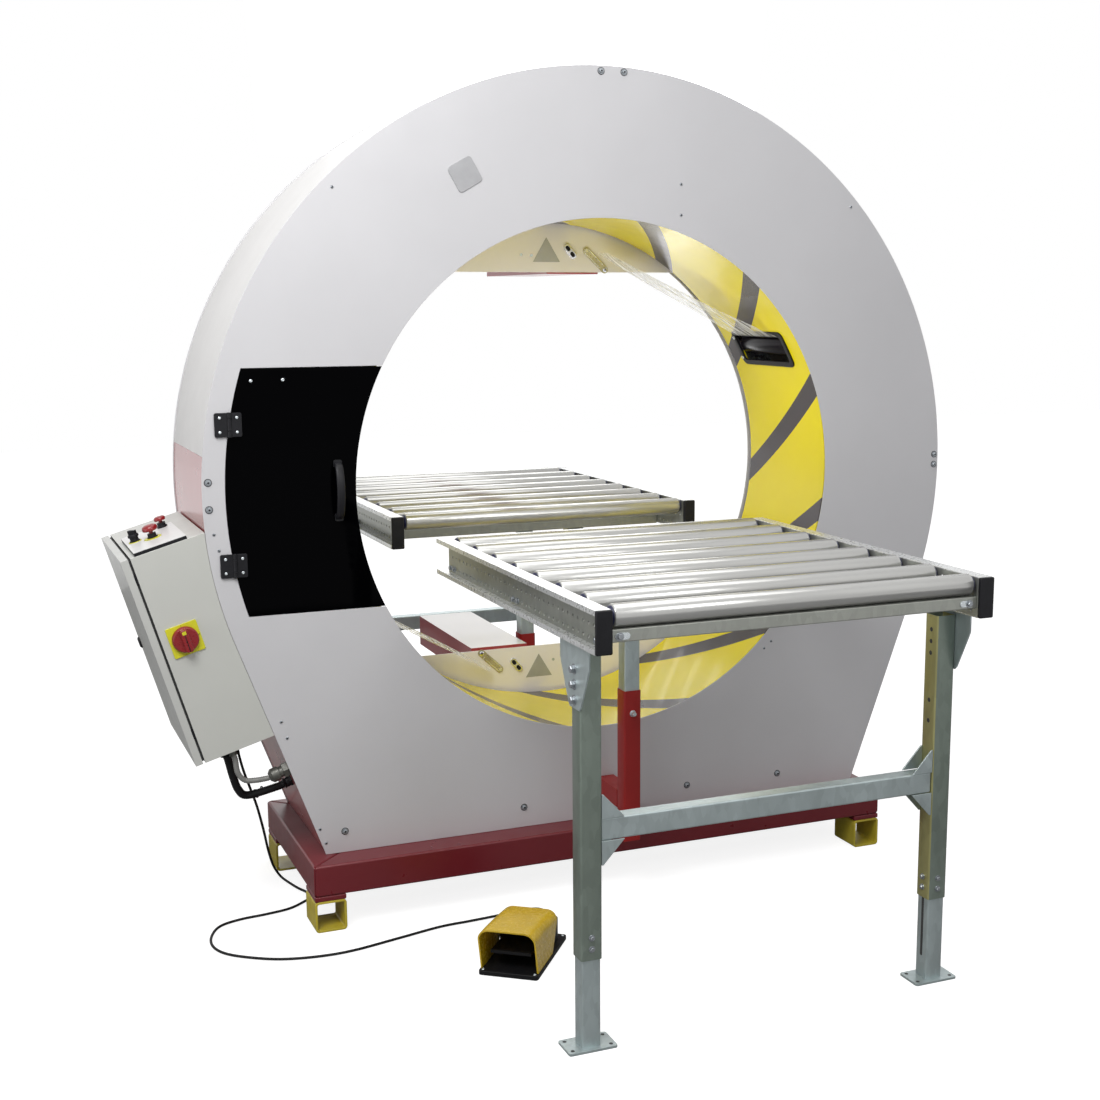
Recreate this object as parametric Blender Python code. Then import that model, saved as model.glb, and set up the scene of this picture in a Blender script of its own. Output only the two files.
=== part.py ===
"""Ring stretch wrapper with two roller tables, built as separate solids in metres.

The load rides along +Y on the roller tables and passes through the ring.  +X is to the right,
+Z is up and the floor is z = 0.  Sizes are given in the machine's own frame, in which the ring
axis is x = 0 and the front panel's outer face is y = 0.  The empty "machine" then shifts the
whole machine so that the origin is the middle of its footprint.
"""
import math

import bmesh
import bpy
from mathutils import Matrix, Vector

# ------------------------------------------------------------------ driving dimensions
GAP = 0.0003               # gap between faces that touch
SHEET = 0.003              # panels and trays

# ring housing
AXIS_Z = 1.148             # height of the ring axis
HOLE_R = 0.700             # clear opening in the front panel
BACK_HOLE_R = 0.706        # clear opening in the back panel
HOUSING_R = 1.092          # round top of the panels
TANGENT_DEG = -20.0        # where the round top runs into the straight lower edges
DEPTH = 0.485              # outer face to outer face of the two panels
COVER_INSET = 0.003        # rim cover below the panels' edge
COVER_T = 0.002
COVER_SPLIT_DEG = 5.4      # white rim cover above, red side covers below
OUTLINE_STEPS = 44

# base frame and fork pockets
FOOT = 0.084               # square fork pocket tube
FOOT_WALL = 0.006
FOOT_LEN = 0.110
PAD_H = 0.014              # packing between a pocket and the rail
BASE_H = 0.084
BASE_HALF = 0.863
BASE_RAIL = 0.100
CHANNEL_WALL = 0.006       # base rails are open below, uprights and members open inwards
BASE_FRONT = -0.083
BASE_REAR = 0.520
UPRIGHT = 0.050
UPRIGHT_X = 0.770
UPRIGHT_TOP = 0.800
MEMBER_LOW = 0.215
MEMBER_H = 0.090

# height adjusters between the base and the tables
POST = 0.050
POST_WALL = 0.0025
POST_OUT = 0.158           # post centre in front of a panel's outer face
POST_LOW = 0.165
POST_TOP = 0.590
ARM_LOW = 0.250

# rotating ring
DRUM_R = 0.708
DRUM_T = 0.006
DRUM_FRONT = 0.020
DRUM_BACK = 0.465
DISC_R = 0.900             # front disc that runs on the support rollers
DISC_T = 0.010
DISC_Y = 0.078
RIB_R = 0.800              # rear stiffening rib
RIB_Y = 0.402
RING_STEPS = 64
SLOT_DEG = 28.7            # film slot in the drum
SLOT_W = 0.100
SLOT_FRONT = 0.100
SLOT_BACK = 0.380

# film reels
REEL_DEG = 46.0
REEL_R = 0.100
REEL_FROM_AXIS = 0.830
REEL_FRONT = 0.110
REEL_BACK = 0.370
SPINDLE_R = 0.012
SPINDLE_BACK = 0.392
CARRIAGE = 0.120
CARRIAGE_T = 0.008

# support rollers and drive
SUPPORT_R = 0.040
SUPPORT_W = 0.030
SUPPORT_DEGS = (45.0, 135.0, 225.0)
SHAFT_R = 0.010
WHEEL_R = 0.090
WHEEL_DEG = -52.0
WHEEL_SHAFT_R = 0.0125
MOTOR_R = 0.055
MOTOR_FRONT = 0.250

# trays, clamp housings and cutter arms at the back panel
TRAY_R = 0.730             # trays lap the back panel behind the ring
TRAY_CHORD = 0.565         # chord above and below the ring axis
CLAMPS = {                 # x and z limits
    "bottom": (-0.235, -0.055, 0.495, 0.592),
    "top": (0.020, 0.185, 1.708, 1.805),
}
CLAMP_LEN = 0.540
CLAMP_WALL = 0.002
CUTTER_PIVOT = (-0.205, 0.575)
CUTTER_LEN = 0.102
CUTTER_W = 0.022
CUTTER_T = 0.005
CUTTER_DEG = -43.0
CUTTER_PIN_R = 0.004

# tinted access door
DOOR_R = 1.033
DOOR_HALF_H = 0.3125
DOOR_MID_Z = 1.1545
DOOR_T = 0.004
DOOR_Y = 0.0005
DOOR_GAP = 0.0015
HINGE_X = -1.018
HINGE_Y = -0.0065
HINGE_ZS = (1.330, 0.9755)
HINGE_H = 0.060
HINGE_LEAF_X = -1.055
HINGE_LEAF_T = 0.0075
BARREL_R = 0.006
HANDLE_X = -0.748
HANDLE_W = 0.022
HANDLE_Z = (1.074, 1.232)
HANDLE_FOOT = 0.020
HANDLE_REACH = 0.040
HANDLE_GRIP = 0.012

# control cabinet on the left edge of the housing
CAB_TILT_DEG = 16.4
CAB_OUT = 0.180            # upper left corner beyond the housing's widest point
CAB_TOP = 1.010
CAB_LEN = 0.562
CAB_Y = (0.001, 0.440)
CAB_WALL = 0.002
CAB_CLEAR = 0.0006
CAB_DOOR_T = 0.025
LOCK_R = 0.016
LOCK_T = 0.006
LOCK_DOWN = 0.300
LOCK_Y = 0.400
SWITCH_ALONG = 0.058       # main switch on the cabinet's front face, from the corner
SWITCH_DOWN = 0.238
SWITCH_PLATE = 0.080
SWITCH_PLATE_T = 0.004
SWITCH_R = 0.034
SWITCH_T = 0.022
PAD_ALONG = (0.012, 0.146) # raised plate with the buttons, on the cabinet's top
PAD_Y = (0.003, 0.262)
PAD_T = 0.010
BUTTON_STEM_R = 0.011
BUTTONS = {                # along the top, y, cap radius, cap height above the stem
    "selector_knob": (0.036, 0.150, 0.014, 0.018),
    "emergency_stop": (0.078, 0.120, 0.020, 0.016),
    "stop_button": (0.118, 0.225, 0.015, 0.010),
}
PRESSED = ("emergency_stop", "stop_button")
STEM_H = 0.013
BUTTON_TRAVEL = 0.006
BUTTON_PIN_R = 0.005
BUTTON_PIN_IN = 0.006      # how far a button's pin reaches into its stem at rest
CABLE_GLAND_ALONG = 0.095
CABLE_GLAND_Y = 0.120
GLAND_R = 0.010
GLAND_LEN = 0.024
CONDUIT_GLAND_ALONG = 0.060
CONDUIT_GLAND_Y = 0.070

# foot pedal
PEDAL_CENTRE = (-0.414, -0.430)
PEDAL_TURN_DEG = -37.4
PEDAL_W = 0.153
PEDAL_LEN = 0.267
PEDAL_PLATE = 0.012
HOOD_W = 0.148
HOOD_TOP = 0.125
HOOD_REAR_TOP = 0.106      # the hood drops and leans towards the back
HOOD_CORNER = 0.030
HOOD_WALL = 0.004
HOOD_FRONT = -0.118
HOOD_BACK = 0.010
HOOD_LEAN_FRONT = -0.030
HOOD_LEAN_BACK = 0.052
BLOCK_HALF = 0.062
BLOCK_TOP = 0.074
BLOCK_FRONT = -0.006
BLOCK_BACK = 0.105
TREADLE_HALF = 0.052
TREADLE_FRONT = -0.108
TREADLE_PIVOT = (-0.0125, 0.050)
TREADLE_T = 0.008
TREADLE_PIN_R = 0.006
TREADLE_FRONT_Z = 0.050

# pedal cable and conduit, centre lines between their glands in the machine's frame
CABLE_R = 0.0035
CABLE_ROUTE = [
    (-0.998, 0.124, 0.405), (-0.980, 0.138, 0.350),
    (-0.958, 0.165, 0.285), (-0.936, 0.205, 0.205), (-0.915, 0.258, 0.125), (-0.892, 0.318, 0.058),
    (-0.872, 0.355, 0.018), (-0.862, 0.345, 0.0050), (-0.852, 0.300, 0.0046), (-0.838, 0.248, 0.0046),
    (-0.822, 0.205, 0.0046), (-0.822, 0.166, 0.0046), (-0.850, 0.136, 0.0046), (-0.895, 0.106, 0.0046),
    (-0.960, 0.092, 0.0046), (-1.031, 0.083, 0.0046), (-1.088, 0.057, 0.0046), (-1.120, -0.003, 0.0046),
    (-1.127, -0.066, 0.0046), (-1.106, -0.124, 0.0046), (-1.053, -0.174, 0.0046), (-0.980, -0.216, 0.0046),
    (-0.890, -0.236, 0.0046), (-0.800, -0.234, 0.0046), (-0.671, -0.204, 0.0046), (-0.554, -0.176, 0.0046),
    (-0.470, -0.171, 0.0048), (-0.395, -0.168, 0.0060), (-0.335, -0.170, 0.0095), (-0.296, -0.186, 0.017),
    (-0.282, -0.222, 0.025), (-0.296, -0.268, 0.031),
]
CABLE_POINTS = 79
PEDAL_GLAND_Z = 0.032
CONDUIT_R = 0.011
CONDUIT_ROUTE = [(-1.034, 0.072, 0.405), (-1.020, 0.078, 0.365), (-0.994, 0.087, 0.345)]
CONDUIT_POINTS = 14
LEAD = 0.018               # straight stretch where a cable leaves a gland
CONDUIT_ENTRY = (0.100, 0.3684)      # y and z where the conduit meets the left side cover
ENTRY_GLAND_R = 0.016
ENTRY_GLAND_LEN = 0.022

# roller tables
TABLE_LEN = 1.075
NEAR_START = -0.005
FAR_START = 0.4235
TABLE_TOP = 1.0134
RAIL_H = 0.094
RAIL_W = 0.037
RAIL_T = 0.003
RAIL_OUT = 0.490
CAP_T = 0.010
ROLLERS = 8
ROLLER_R = 0.025
ROLLER_PROUD = 0.006       # rollers stand above the rails
ROLLER_INSET = 0.035       # first and last roller axis from the rail ends
ROLLER_STEPS = 16
ROLLER_HALF = 0.4424       # half length of a roller
ROLLER_WALL = 0.002
ROLLER_PLUG = 0.012        # bearing plugs at a roller's ends
AXLE_R = 0.006             # fixed axles
BAR = 0.030
BAR_DEEP = 0.040
LEG = 0.050
LEG_WALL = 0.0025
LEG_X = 0.451
LEG_IN = 0.145             # leg centre from the outer end of the table
LEG_TOP = 0.905
LEG_LOW = 0.210
CROSS_LOW = 0.478
CROSS_H = 0.050
CROSS_DEEP = 0.040
BRACKET_T = 0.004
BRACKET_TOP_HALF = 0.080
BRACKET_LOW_HALF = 0.030
BRACKET_LOW = 0.775
FOOT_PLATE = (0.116, 0.073, 0.006)
LOWER_TOP = 0.450
POST_TUBE_LOW = 0.350

# ------------------------------------------------------------------ derived values
TILT = math.radians(CAB_TILT_DEG)
ALONG = Vector((math.cos(TILT), 0.0, math.sin(TILT)))      # across the cabinet, to the right
DOWN = Vector((math.sin(TILT), 0.0, -math.cos(TILT)))      # down the cabinet
CORNER = Vector((-(HOUSING_R + CAB_OUT), 0.0, CAB_TOP))
BASE_LOW = FOOT + PAD_H
BASE_TOP = BASE_LOW + BASE_H
TUBE = POST - 2 * (POST_WALL + GAP)                        # tube that slides in a post
LOWER_LEG = LEG - 2 * (LEG_WALL + GAP)                     # tube that slides in a leg
WEB_IN = RAIL_OUT - RAIL_W                                 # inner face of the rails' webs
RAIL_LOW = TABLE_TOP - RAIL_H
ROLLER_Z = TABLE_TOP + ROLLER_PROUD - ROLLER_R
PITCH = (TABLE_LEN - 2 * ROLLER_INSET) / (ROLLERS - 1)
EDGE_OUT = Vector((-math.cos(math.radians(TANGENT_DEG)), 0.0, math.sin(math.radians(TANGENT_DEG))))
LEFT_END = CORNER.x - CAB_DOOR_T * math.cos(TILT)
SHIFT = Vector((-(HOUSING_R + LEFT_END) / 2, -(NEAR_START - TABLE_LEN + FAR_START + TABLE_LEN) / 2, 0.0))

# ------------------------------------------------------------------ scene helpers
for old in list(bpy.data.objects):
    bpy.data.objects.remove(old, do_unlink=True)

MACHINE = bpy.data.objects.new("machine", None)
bpy.context.collection.objects.link(MACHINE)
MACHINE.location = SHIFT

LOOKS = {                  # colour, roughness, metallic
    "panel_steel": ((0.62, 0.61, 0.63), 0.38, 0.6),
    "cover_white": ((0.85, 0.84, 0.83), 0.45, 0.0),
    "frame_red": ((0.42, 0.03, 0.03), 0.40, 0.0),
    "ring_yellow": ((0.80, 0.62, 0.02), 0.18, 0.0),
    "galvanised": ((0.56, 0.60, 0.58), 0.35, 0.9),
    "roller_steel": ((0.70, 0.73, 0.70), 0.25, 1.0),
    "tray_beige": ((0.72, 0.69, 0.58), 0.42, 0.0),
    "tinted": ((0.02, 0.02, 0.03), 0.08, 0.0),
    "black_plastic": ((0.02, 0.02, 0.025), 0.45, 0.0),
    "cabinet_grey": ((0.60, 0.60, 0.57), 0.45, 0.0),
    "switch_red": ((0.55, 0.03, 0.03), 0.35, 0.0),
    "pedal_yellow": ((0.80, 0.60, 0.03), 0.35, 0.0),
    "film": ((0.80, 0.86, 0.90), 0.20, 0.0),
    "rubber": ((0.02, 0.02, 0.02), 0.70, 0.0),
    "motor_grey": ((0.25, 0.28, 0.30), 0.50, 0.3),
}


def make_look(name):
    colour, roughness, metallic = LOOKS[name]
    look = bpy.data.materials.new(name)
    look.use_nodes = True
    shader = look.node_tree.nodes["Principled BSDF"]
    shader.inputs["Base Color"].default_value = (*colour, 1.0)
    shader.inputs["Roughness"].default_value = roughness
    shader.inputs["Metallic"].default_value = metallic
    return look


MATERIALS = {name: make_look(name) for name in LOOKS}


def add_object(name, shape, look, smooth=False):
    """Turn a bmesh in machine coordinates into a named object under the machine's empty."""
    shape.normal_update()
    bmesh.ops.recalc_face_normals(shape, faces=shape.faces)
    mesh = bpy.data.meshes.new(name)
    shape.to_mesh(mesh)
    shape.free()
    mesh.materials.append(MATERIALS[look])
    if smooth:
        mesh.shade_smooth()
        mesh.set_sharp_from_angle(angle=math.radians(35))
    piece = bpy.data.objects.new(name, mesh)
    bpy.context.collection.objects.link(piece)
    piece.parent = MACHINE
    return piece


def set_origin(piece, point):
    """Move a piece's origin to a point, with its shape left where it is."""
    piece.data.transform(Matrix.Translation(-Vector(point)))
    piece.location = point


def combine(piece, tool_shape, operation):
    """Join a bmesh to a piece, or cut it away, with an exact Boolean."""
    tool_name = f"{piece.name}_tool_{len(piece.modifiers)}"
    tool = add_object(tool_name, tool_shape, "black_plastic")
    tool.hide_render = True
    tool.display_type = "WIRE"
    boolean = piece.modifiers.new(operation.lower(), "BOOLEAN")
    boolean.operation = operation
    boolean.solver = "EXACT"
    boolean.object = tool


def join(piece, *shapes):
    for shape in shapes:
        combine(piece, shape, "UNION")


def cut(piece, *shapes):
    for shape in shapes:
        combine(piece, shape, "DIFFERENCE")


# ------------------------------------------------------------------ shape helpers
def box(x0, x1, y0, y1, z0, z1):
    shape = bmesh.new()
    size = Matrix.Diagonal((abs(x1 - x0), abs(y1 - y0), abs(z1 - z0), 1.0))
    middle = Matrix.Translation(((x0 + x1) / 2, (y0 + y1) / 2, (z0 + z1) / 2))
    bmesh.ops.create_cube(shape, size=1.0, matrix=middle @ size)
    return shape


def square_box(x, y, width, z0, z1):
    half = width / 2
    return box(x - half, x + half, y - half, y + half, z0, z1)


def prism(outline, y0, y1):
    """Extrude a closed outline of (x, z) points along Y."""
    shape = bmesh.new()
    front = [shape.verts.new((x, y0, z)) for x, z in outline]
    back = [shape.verts.new((x, y1, z)) for x, z in outline]
    shape.faces.new(front)
    shape.faces.new(back[::-1])
    for i in range(len(outline)):
        j = (i + 1) % len(outline)
        shape.faces.new((front[j], front[i], back[i], back[j]))
    return shape


def turned(profile, centre, axis, steps, closed=False):
    """Turn a profile of (radius, distance along the axis) points about an axis."""
    shape = bmesh.new()
    axis = Vector(axis).normalized()
    side = axis.orthogonal().normalized()
    if abs(axis.y) > 0.9:
        side = Vector((1.0, 0.0, 0.0))
    up = axis.cross(side)
    rings = []
    for radius, along in profile:
        middle = Vector(centre) + axis * along
        if radius == 0:
            rings.append([shape.verts.new(middle)])
            continue
        ring = []
        for i in range(steps):
            angle = 2 * math.pi * i / steps
            ring.append(shape.verts.new(middle + radius * (math.cos(angle) * side + math.sin(angle) * up)))
        rings.append(ring)
    pairs = list(zip(rings, rings[1:]))
    if closed:
        pairs.append((rings[-1], rings[0]))
    for low, high in pairs:
        for i in range(steps):
            j = (i + 1) % steps
            corners = [low[i % len(low)], low[j % len(low)], high[j % len(high)], high[i % len(high)]]
            unique = list(dict.fromkeys(corners))
            shape.faces.new(unique)
    return shape


def rod(centre, axis, radius, start, end, steps=16):
    return turned([(0, start), (radius, start), (radius, end), (0, end)], centre, axis, steps)


def ring_point(degrees, radius, y=0.0):
    """A point at an angle and a radius from the ring axis."""
    angle = math.radians(degrees)
    return Vector((radius * math.cos(angle), y, AXIS_Z + radius * math.sin(angle)))


def arc(radius, start_deg, end_deg, steps):
    points = []
    for i in range(steps + 1):
        point = ring_point(start_deg + (end_deg - start_deg) * i / steps, radius)
        points.append((point.x, point.z))
    return points


def edge_foot(radius, z):
    """x on the right straight edge of a housing outline of this radius, at height z."""
    tangent = math.radians(TANGENT_DEG)
    drop = (AXIS_Z + radius * math.sin(tangent) - z) / math.cos(tangent)
    return radius * math.cos(tangent) + drop * math.sin(tangent)


def housing_outline(radius, bottom):
    points = arc(radius, TANGENT_DEG, 180 - TANGENT_DEG, OUTLINE_STEPS)
    foot = edge_foot(radius, bottom)
    return [(foot, bottom)] + points + [(-foot, bottom)]


def outside_housing(point):
    """How far a point on the left lies outside the housing's outline."""
    tangent = math.radians(TANGENT_DEG)
    spoke = Vector((point.x, 0.0, point.z - AXIS_Z))
    if spoke.z > HOUSING_R * math.sin(tangent):
        return spoke.length - HOUSING_R
    return spoke.dot(EDGE_OUT) - HOUSING_R


def smooth_points(route, count):
    """Points at equal distances along a Catmull-Rom curve through the route."""
    knots = [Vector(p) for p in route]
    knots = [2 * knots[0] - knots[1]] + knots + [2 * knots[-1] - knots[-2]]
    dense = []
    for i in range(1, len(knots) - 2):
        a, b, c, d = knots[i - 1:i + 3]
        for k in range(20):
            t = k / 20
            bend = (2 * b) + (c - a) * t + (2 * a - 5 * b + 4 * c - d) * t * t
            dense.append((bend + (3 * b - a - 3 * c + d) * t ** 3) / 2)
    dense.append(knots[-2])
    lengths = [0.0]
    for p, q in zip(dense, dense[1:]):
        lengths.append(lengths[-1] + (q - p).length)
    points = []
    k = 0
    for i in range(count):
        want = lengths[-1] * i / (count - 1)
        while k < len(dense) - 2 and lengths[k + 1] < want:
            k += 1
        share = (want - lengths[k]) / (lengths[k + 1] - lengths[k])
        points.append(dense[k].lerp(dense[k + 1], min(share, 1.0)))
    return points


def tube_along(name, route, count, radius, look):
    """A round tube along a smooth route, as a curve with filled ends."""
    curve = bpy.data.curves.new(name, "CURVE")
    curve.dimensions = "3D"
    curve.bevel_depth = radius
    curve.bevel_resolution = 2
    curve.use_fill_caps = True
    line = curve.splines.new("POLY")
    points = smooth_points(route, count)
    line.points.add(len(points) - 1)
    for target, point in zip(line.points, points):
        target.co = (*point, 1.0)
    curve.materials.append(MATERIALS[look])
    piece = bpy.data.objects.new(name, curve)
    bpy.context.collection.objects.link(piece)
    piece.parent = MACHINE
    return piece


# ------------------------------------------------------------------ base frame
def make_base_frame():
    """Welded frame: base rails, uprights, cross members, post sleeves and fork pockets."""
    frame = add_object("base_frame", box(-BASE_HALF, BASE_HALF, BASE_FRONT, BASE_FRONT + BASE_RAIL,
                                         BASE_LOW, BASE_TOP), "frame_red")
    join(frame, box(-BASE_HALF, BASE_HALF, BASE_REAR - BASE_RAIL, BASE_REAR, BASE_LOW, BASE_TOP))
    for side in (-1, 1):
        inner = side * (BASE_HALF - BASE_RAIL)
        join(frame, box(inner, side * BASE_HALF, BASE_FRONT, BASE_REAR, BASE_LOW, BASE_TOP))
    wall = CHANNEL_WALL
    far = BASE_RAIL - wall
    high = BASE_TOP - wall
    for low_y, high_y in ((BASE_FRONT + wall, BASE_FRONT + far), (BASE_REAR - far, BASE_REAR - wall)):
        cut(frame, box(-BASE_HALF + wall, BASE_HALF - wall, low_y, high_y, BASE_LOW - 0.01, high))
    for side in (-1, 1):
        cut(frame, box(side * (BASE_HALF - far), side * (BASE_HALF - wall), BASE_FRONT + 0.05,
                       BASE_REAR - 0.05, BASE_LOW - 0.01, high))
    for outer_face, inward in ((SHEET + GAP, 1), (DEPTH - SHEET - GAP, -1)):
        inner_face = outer_face + inward * UPRIGHT
        hollow = outer_face + inward * wall
        for side in (-1, 1):
            x0 = side * (UPRIGHT_X - UPRIGHT / 2)
            x1 = side * (UPRIGHT_X + UPRIGHT / 2)
            join(frame, box(x0, x1, outer_face, inner_face, BASE_TOP - SHEET, UPRIGHT_TOP))
        join(frame, box(-UPRIGHT_X, UPRIGHT_X, outer_face, inner_face, MEMBER_LOW, MEMBER_LOW + MEMBER_H))
        past = inner_face + inward * 0.01
        for side in (-1, 1):
            x0 = side * (UPRIGHT_X - UPRIGHT / 2 + wall)
            x1 = side * (UPRIGHT_X + UPRIGHT / 2 - wall)
            cut(frame, box(x0, x1, hollow, past, BASE_TOP + wall, UPRIGHT_TOP - wall))
        cut(frame, box(-UPRIGHT_X + UPRIGHT / 2 + wall, UPRIGHT_X - UPRIGHT / 2 - wall, hollow, past,
                       MEMBER_LOW + wall, MEMBER_LOW + MEMBER_H - wall))
        post_y = -POST_OUT if inward > 0 else DEPTH + POST_OUT
        join(frame, square_box(0.0, post_y, POST, POST_LOW, POST_TOP))
        arm_start = post_y + inward * (POST / 2 - 0.001)
        join(frame, box(-POST / 2, POST / 2, arm_start, outer_face + inward * 0.003, ARM_LOW, ARM_LOW + POST))
        bore = POST - 2 * POST_WALL
        cut(frame, square_box(0.0, post_y, bore, POST_LOW - 0.01, POST_TOP + 0.01))
    for side in (-1, 1):
        for foot_y in (BASE_FRONT, BASE_REAR - FOOT_LEN):
            x0 = side * BASE_HALF
            x1 = side * (BASE_HALF - FOOT)
            join(frame, box(x0, x1, foot_y, foot_y + FOOT_LEN, 0.0, BASE_LOW + 0.001))
            wall = side * FOOT_WALL
            cut(frame, box(x0 - wall, x1 + wall, foot_y - 0.01, foot_y + FOOT_LEN + 0.01,
                           FOOT_WALL, FOOT - FOOT_WALL))
    return frame


# ------------------------------------------------------------------ panels and covers
def door_outline(inner_r, outer_r, low, high):
    """Outline on the left between two radii and two heights."""
    def angle_at(radius, z):
        return 180 - math.degrees(math.asin((z - AXIS_Z) / radius))
    outer = arc(outer_r, angle_at(outer_r, high), angle_at(outer_r, low), 10)
    inner = arc(inner_r, angle_at(inner_r, low), angle_at(inner_r, high), 12)
    return outer + inner


def make_panels():
    front = add_object("front_panel", prism(housing_outline(HOUSING_R, BASE_TOP + GAP), 0.0, SHEET),
                       "panel_steel")
    centre = (0.0, 0.0, AXIS_Z)
    cut(front, rod(centre, (0, 1, 0), HOLE_R, -0.01, 0.02, RING_STEPS))
    notch = door_outline(HOLE_R - 0.02, DOOR_R + DOOR_GAP, DOOR_MID_Z - DOOR_HALF_H - DOOR_GAP,
                         DOOR_MID_Z + DOOR_HALF_H + DOOR_GAP)
    cut(front, prism(notch, -0.01, 0.02))
    clear = POST / 2 + GAP
    cut(front, box(-clear, clear, -0.01, 0.02, ARM_LOW - GAP, ARM_LOW + POST + GAP))
    for degrees in SUPPORT_DEGS:
        shaft = ring_point(degrees, DISC_R + GAP + SUPPORT_R)
        join(front, rod(shaft, (0, 1, 0), SHAFT_R, SHEET - 0.001, DISC_Y + DISC_T + 0.012))
    back = add_object("back_panel", prism(housing_outline(HOUSING_R, BASE_TOP + GAP), DEPTH - SHEET, DEPTH),
                      "panel_steel")
    cut(back, rod(centre, (0, 1, 0), BACK_HOLE_R, DEPTH - 0.02, DEPTH + 0.01, RING_STEPS))
    cut(back, box(-clear, clear, DEPTH - 0.02, DEPTH + 0.01, ARM_LOW - GAP, ARM_LOW + POST + GAP))


def make_covers():
    y0 = SHEET + GAP
    y1 = DEPTH - SHEET - GAP
    outer_r = HOUSING_R - COVER_INSET
    inner_r = outer_r - COVER_T
    joint = math.degrees(GAP / outer_r)
    start = COVER_SPLIT_DEG + joint
    outer = arc(outer_r, start, 180 - start, 36)
    inner = arc(inner_r, 180 - start, start, 36)
    add_object("rim_cover", prism(outer + inner, y0, y1), "cover_white", smooth=True)
    floor = BASE_TOP + GAP
    down = arc(outer_r, COVER_SPLIT_DEG, TANGENT_DEG, 6) + [(edge_foot(outer_r, floor), floor)]
    up = [(edge_foot(inner_r, floor), floor)] + arc(inner_r, TANGENT_DEG, COVER_SPLIT_DEG, 6)
    add_object("side_cover_right", prism(down + up, y0, y1), "frame_red", smooth=True)
    mirrored = [(-x, z) for x, z in down + up]
    left = add_object("side_cover_left", prism(mirrored, y0, y1), "frame_red", smooth=True)
    entry_y, entry_z = CONDUIT_ENTRY
    seat = Vector((-edge_foot(outer_r, entry_z), entry_y, entry_z))
    join(left, rod(seat, EDGE_OUT, ENTRY_GLAND_R, -0.001, ENTRY_GLAND_LEN, 12))
    return seat + EDGE_OUT * (ENTRY_GLAND_LEN + GAP), EDGE_OUT


# ------------------------------------------------------------------ trays, clamps and cutters
def half_turn(x, z):
    """The matching point on the other side of the ring axis."""
    return -x, 2 * AXIS_Z - z


def make_tray(name, upper):
    reach = math.degrees(math.acos(TRAY_CHORD / TRAY_R))
    outline = arc(TRAY_R, 270 - reach, 270 + reach, 18)
    pin_x, pin_z = CUTTER_PIVOT
    if upper:
        outline = [half_turn(x, z) for x, z in outline]
        pin_x, pin_z = half_turn(pin_x, pin_z)
    back = DEPTH - SHEET - GAP
    tray = add_object(name, prism(outline, back - SHEET, back), "tray_beige")
    face = back - SHEET
    join(tray, rod((pin_x, face, pin_z), (0, -1, 0), CUTTER_PIN_R, -0.001, CUTTER_T + 2 * GAP + 0.002, 12))


def make_clamp_housing(word):
    """A sheet housing on the back of the tray, open on the side away from the load."""
    x0, x1, z0, z1 = CLAMPS[word]
    wall = CLAMP_WALL
    front = DEPTH - SHEET
    low, high = (z0 - 0.01, z1 - wall) if word == "bottom" else (z0 + wall, z1 + 0.01)
    housing = add_object(f"{word}_clamp_housing", box(x0, x1, front, front + CLAMP_LEN, z0, z1), "frame_red")
    cut(housing, box(x0 + wall, x1 - wall, front + wall, front + CLAMP_LEN - wall, low, high))


def make_cutter_arm(name, upper):
    x, z = CUTTER_PIVOT
    turn = math.radians(CUTTER_DEG)
    if upper:
        x, z = half_turn(x, z)
        turn += math.pi
    face = DEPTH - SHEET - GAP - SHEET
    back = face - GAP
    front = back - CUTTER_T
    half = CUTTER_W / 2
    length = CUTTER_LEN - CUTTER_W
    outline = []
    for i in range(9):
        angle = math.pi / 2 + math.pi * i / 8
        outline.append((half * math.cos(angle), half * math.sin(angle)))
    for i in range(9):
        angle = -math.pi / 2 + math.pi * i / 8
        outline.append((length + half * math.cos(angle), half * math.sin(angle)))
    placed = []
    for u, v in outline:
        placed.append((x + u * math.cos(turn) - v * math.sin(turn), z + u * math.sin(turn) + v * math.cos(turn)))
    arm = add_object(name, prism(placed, front, back), "galvanised")
    cut(arm, rod((x, 0.0, z), (0, 1, 0), CUTTER_PIN_R + GAP, front - 0.01, back + 0.01, 12))
    set_origin(arm, (x, front, z))


# ------------------------------------------------------------------ ring, reels, support and drive
def make_ring():
    outer = DRUM_R + DRUM_T
    profile = [(DRUM_R, DRUM_FRONT), (DRUM_R, DRUM_BACK), (outer, DRUM_BACK)]
    profile += [(outer, RIB_Y + DISC_T), (RIB_R, RIB_Y + DISC_T), (RIB_R, RIB_Y), (outer, RIB_Y)]
    profile += [(outer, DISC_Y + DISC_T), (DISC_R, DISC_Y + DISC_T), (DISC_R, DISC_Y), (outer, DISC_Y)]
    profile += [(outer, DRUM_FRONT)]
    centre = (0.0, 0.0, AXIS_Z)
    ring = add_object("ring_drum", turned(profile, centre, (0, 1, 0), RING_STEPS, closed=True),
                      "ring_yellow", smooth=True)
    for degrees in (SLOT_DEG, SLOT_DEG + 180):
        slot = box(DRUM_R - 0.02, outer + 0.02, SLOT_FRONT, SLOT_BACK, -SLOT_W / 2, SLOT_W / 2)
        turn = Matrix.Rotation(-math.radians(degrees), 4, "Y")
        slot.transform(Matrix.Translation(centre) @ turn)
        cut(ring, slot)
    set_origin(ring, centre)


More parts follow.
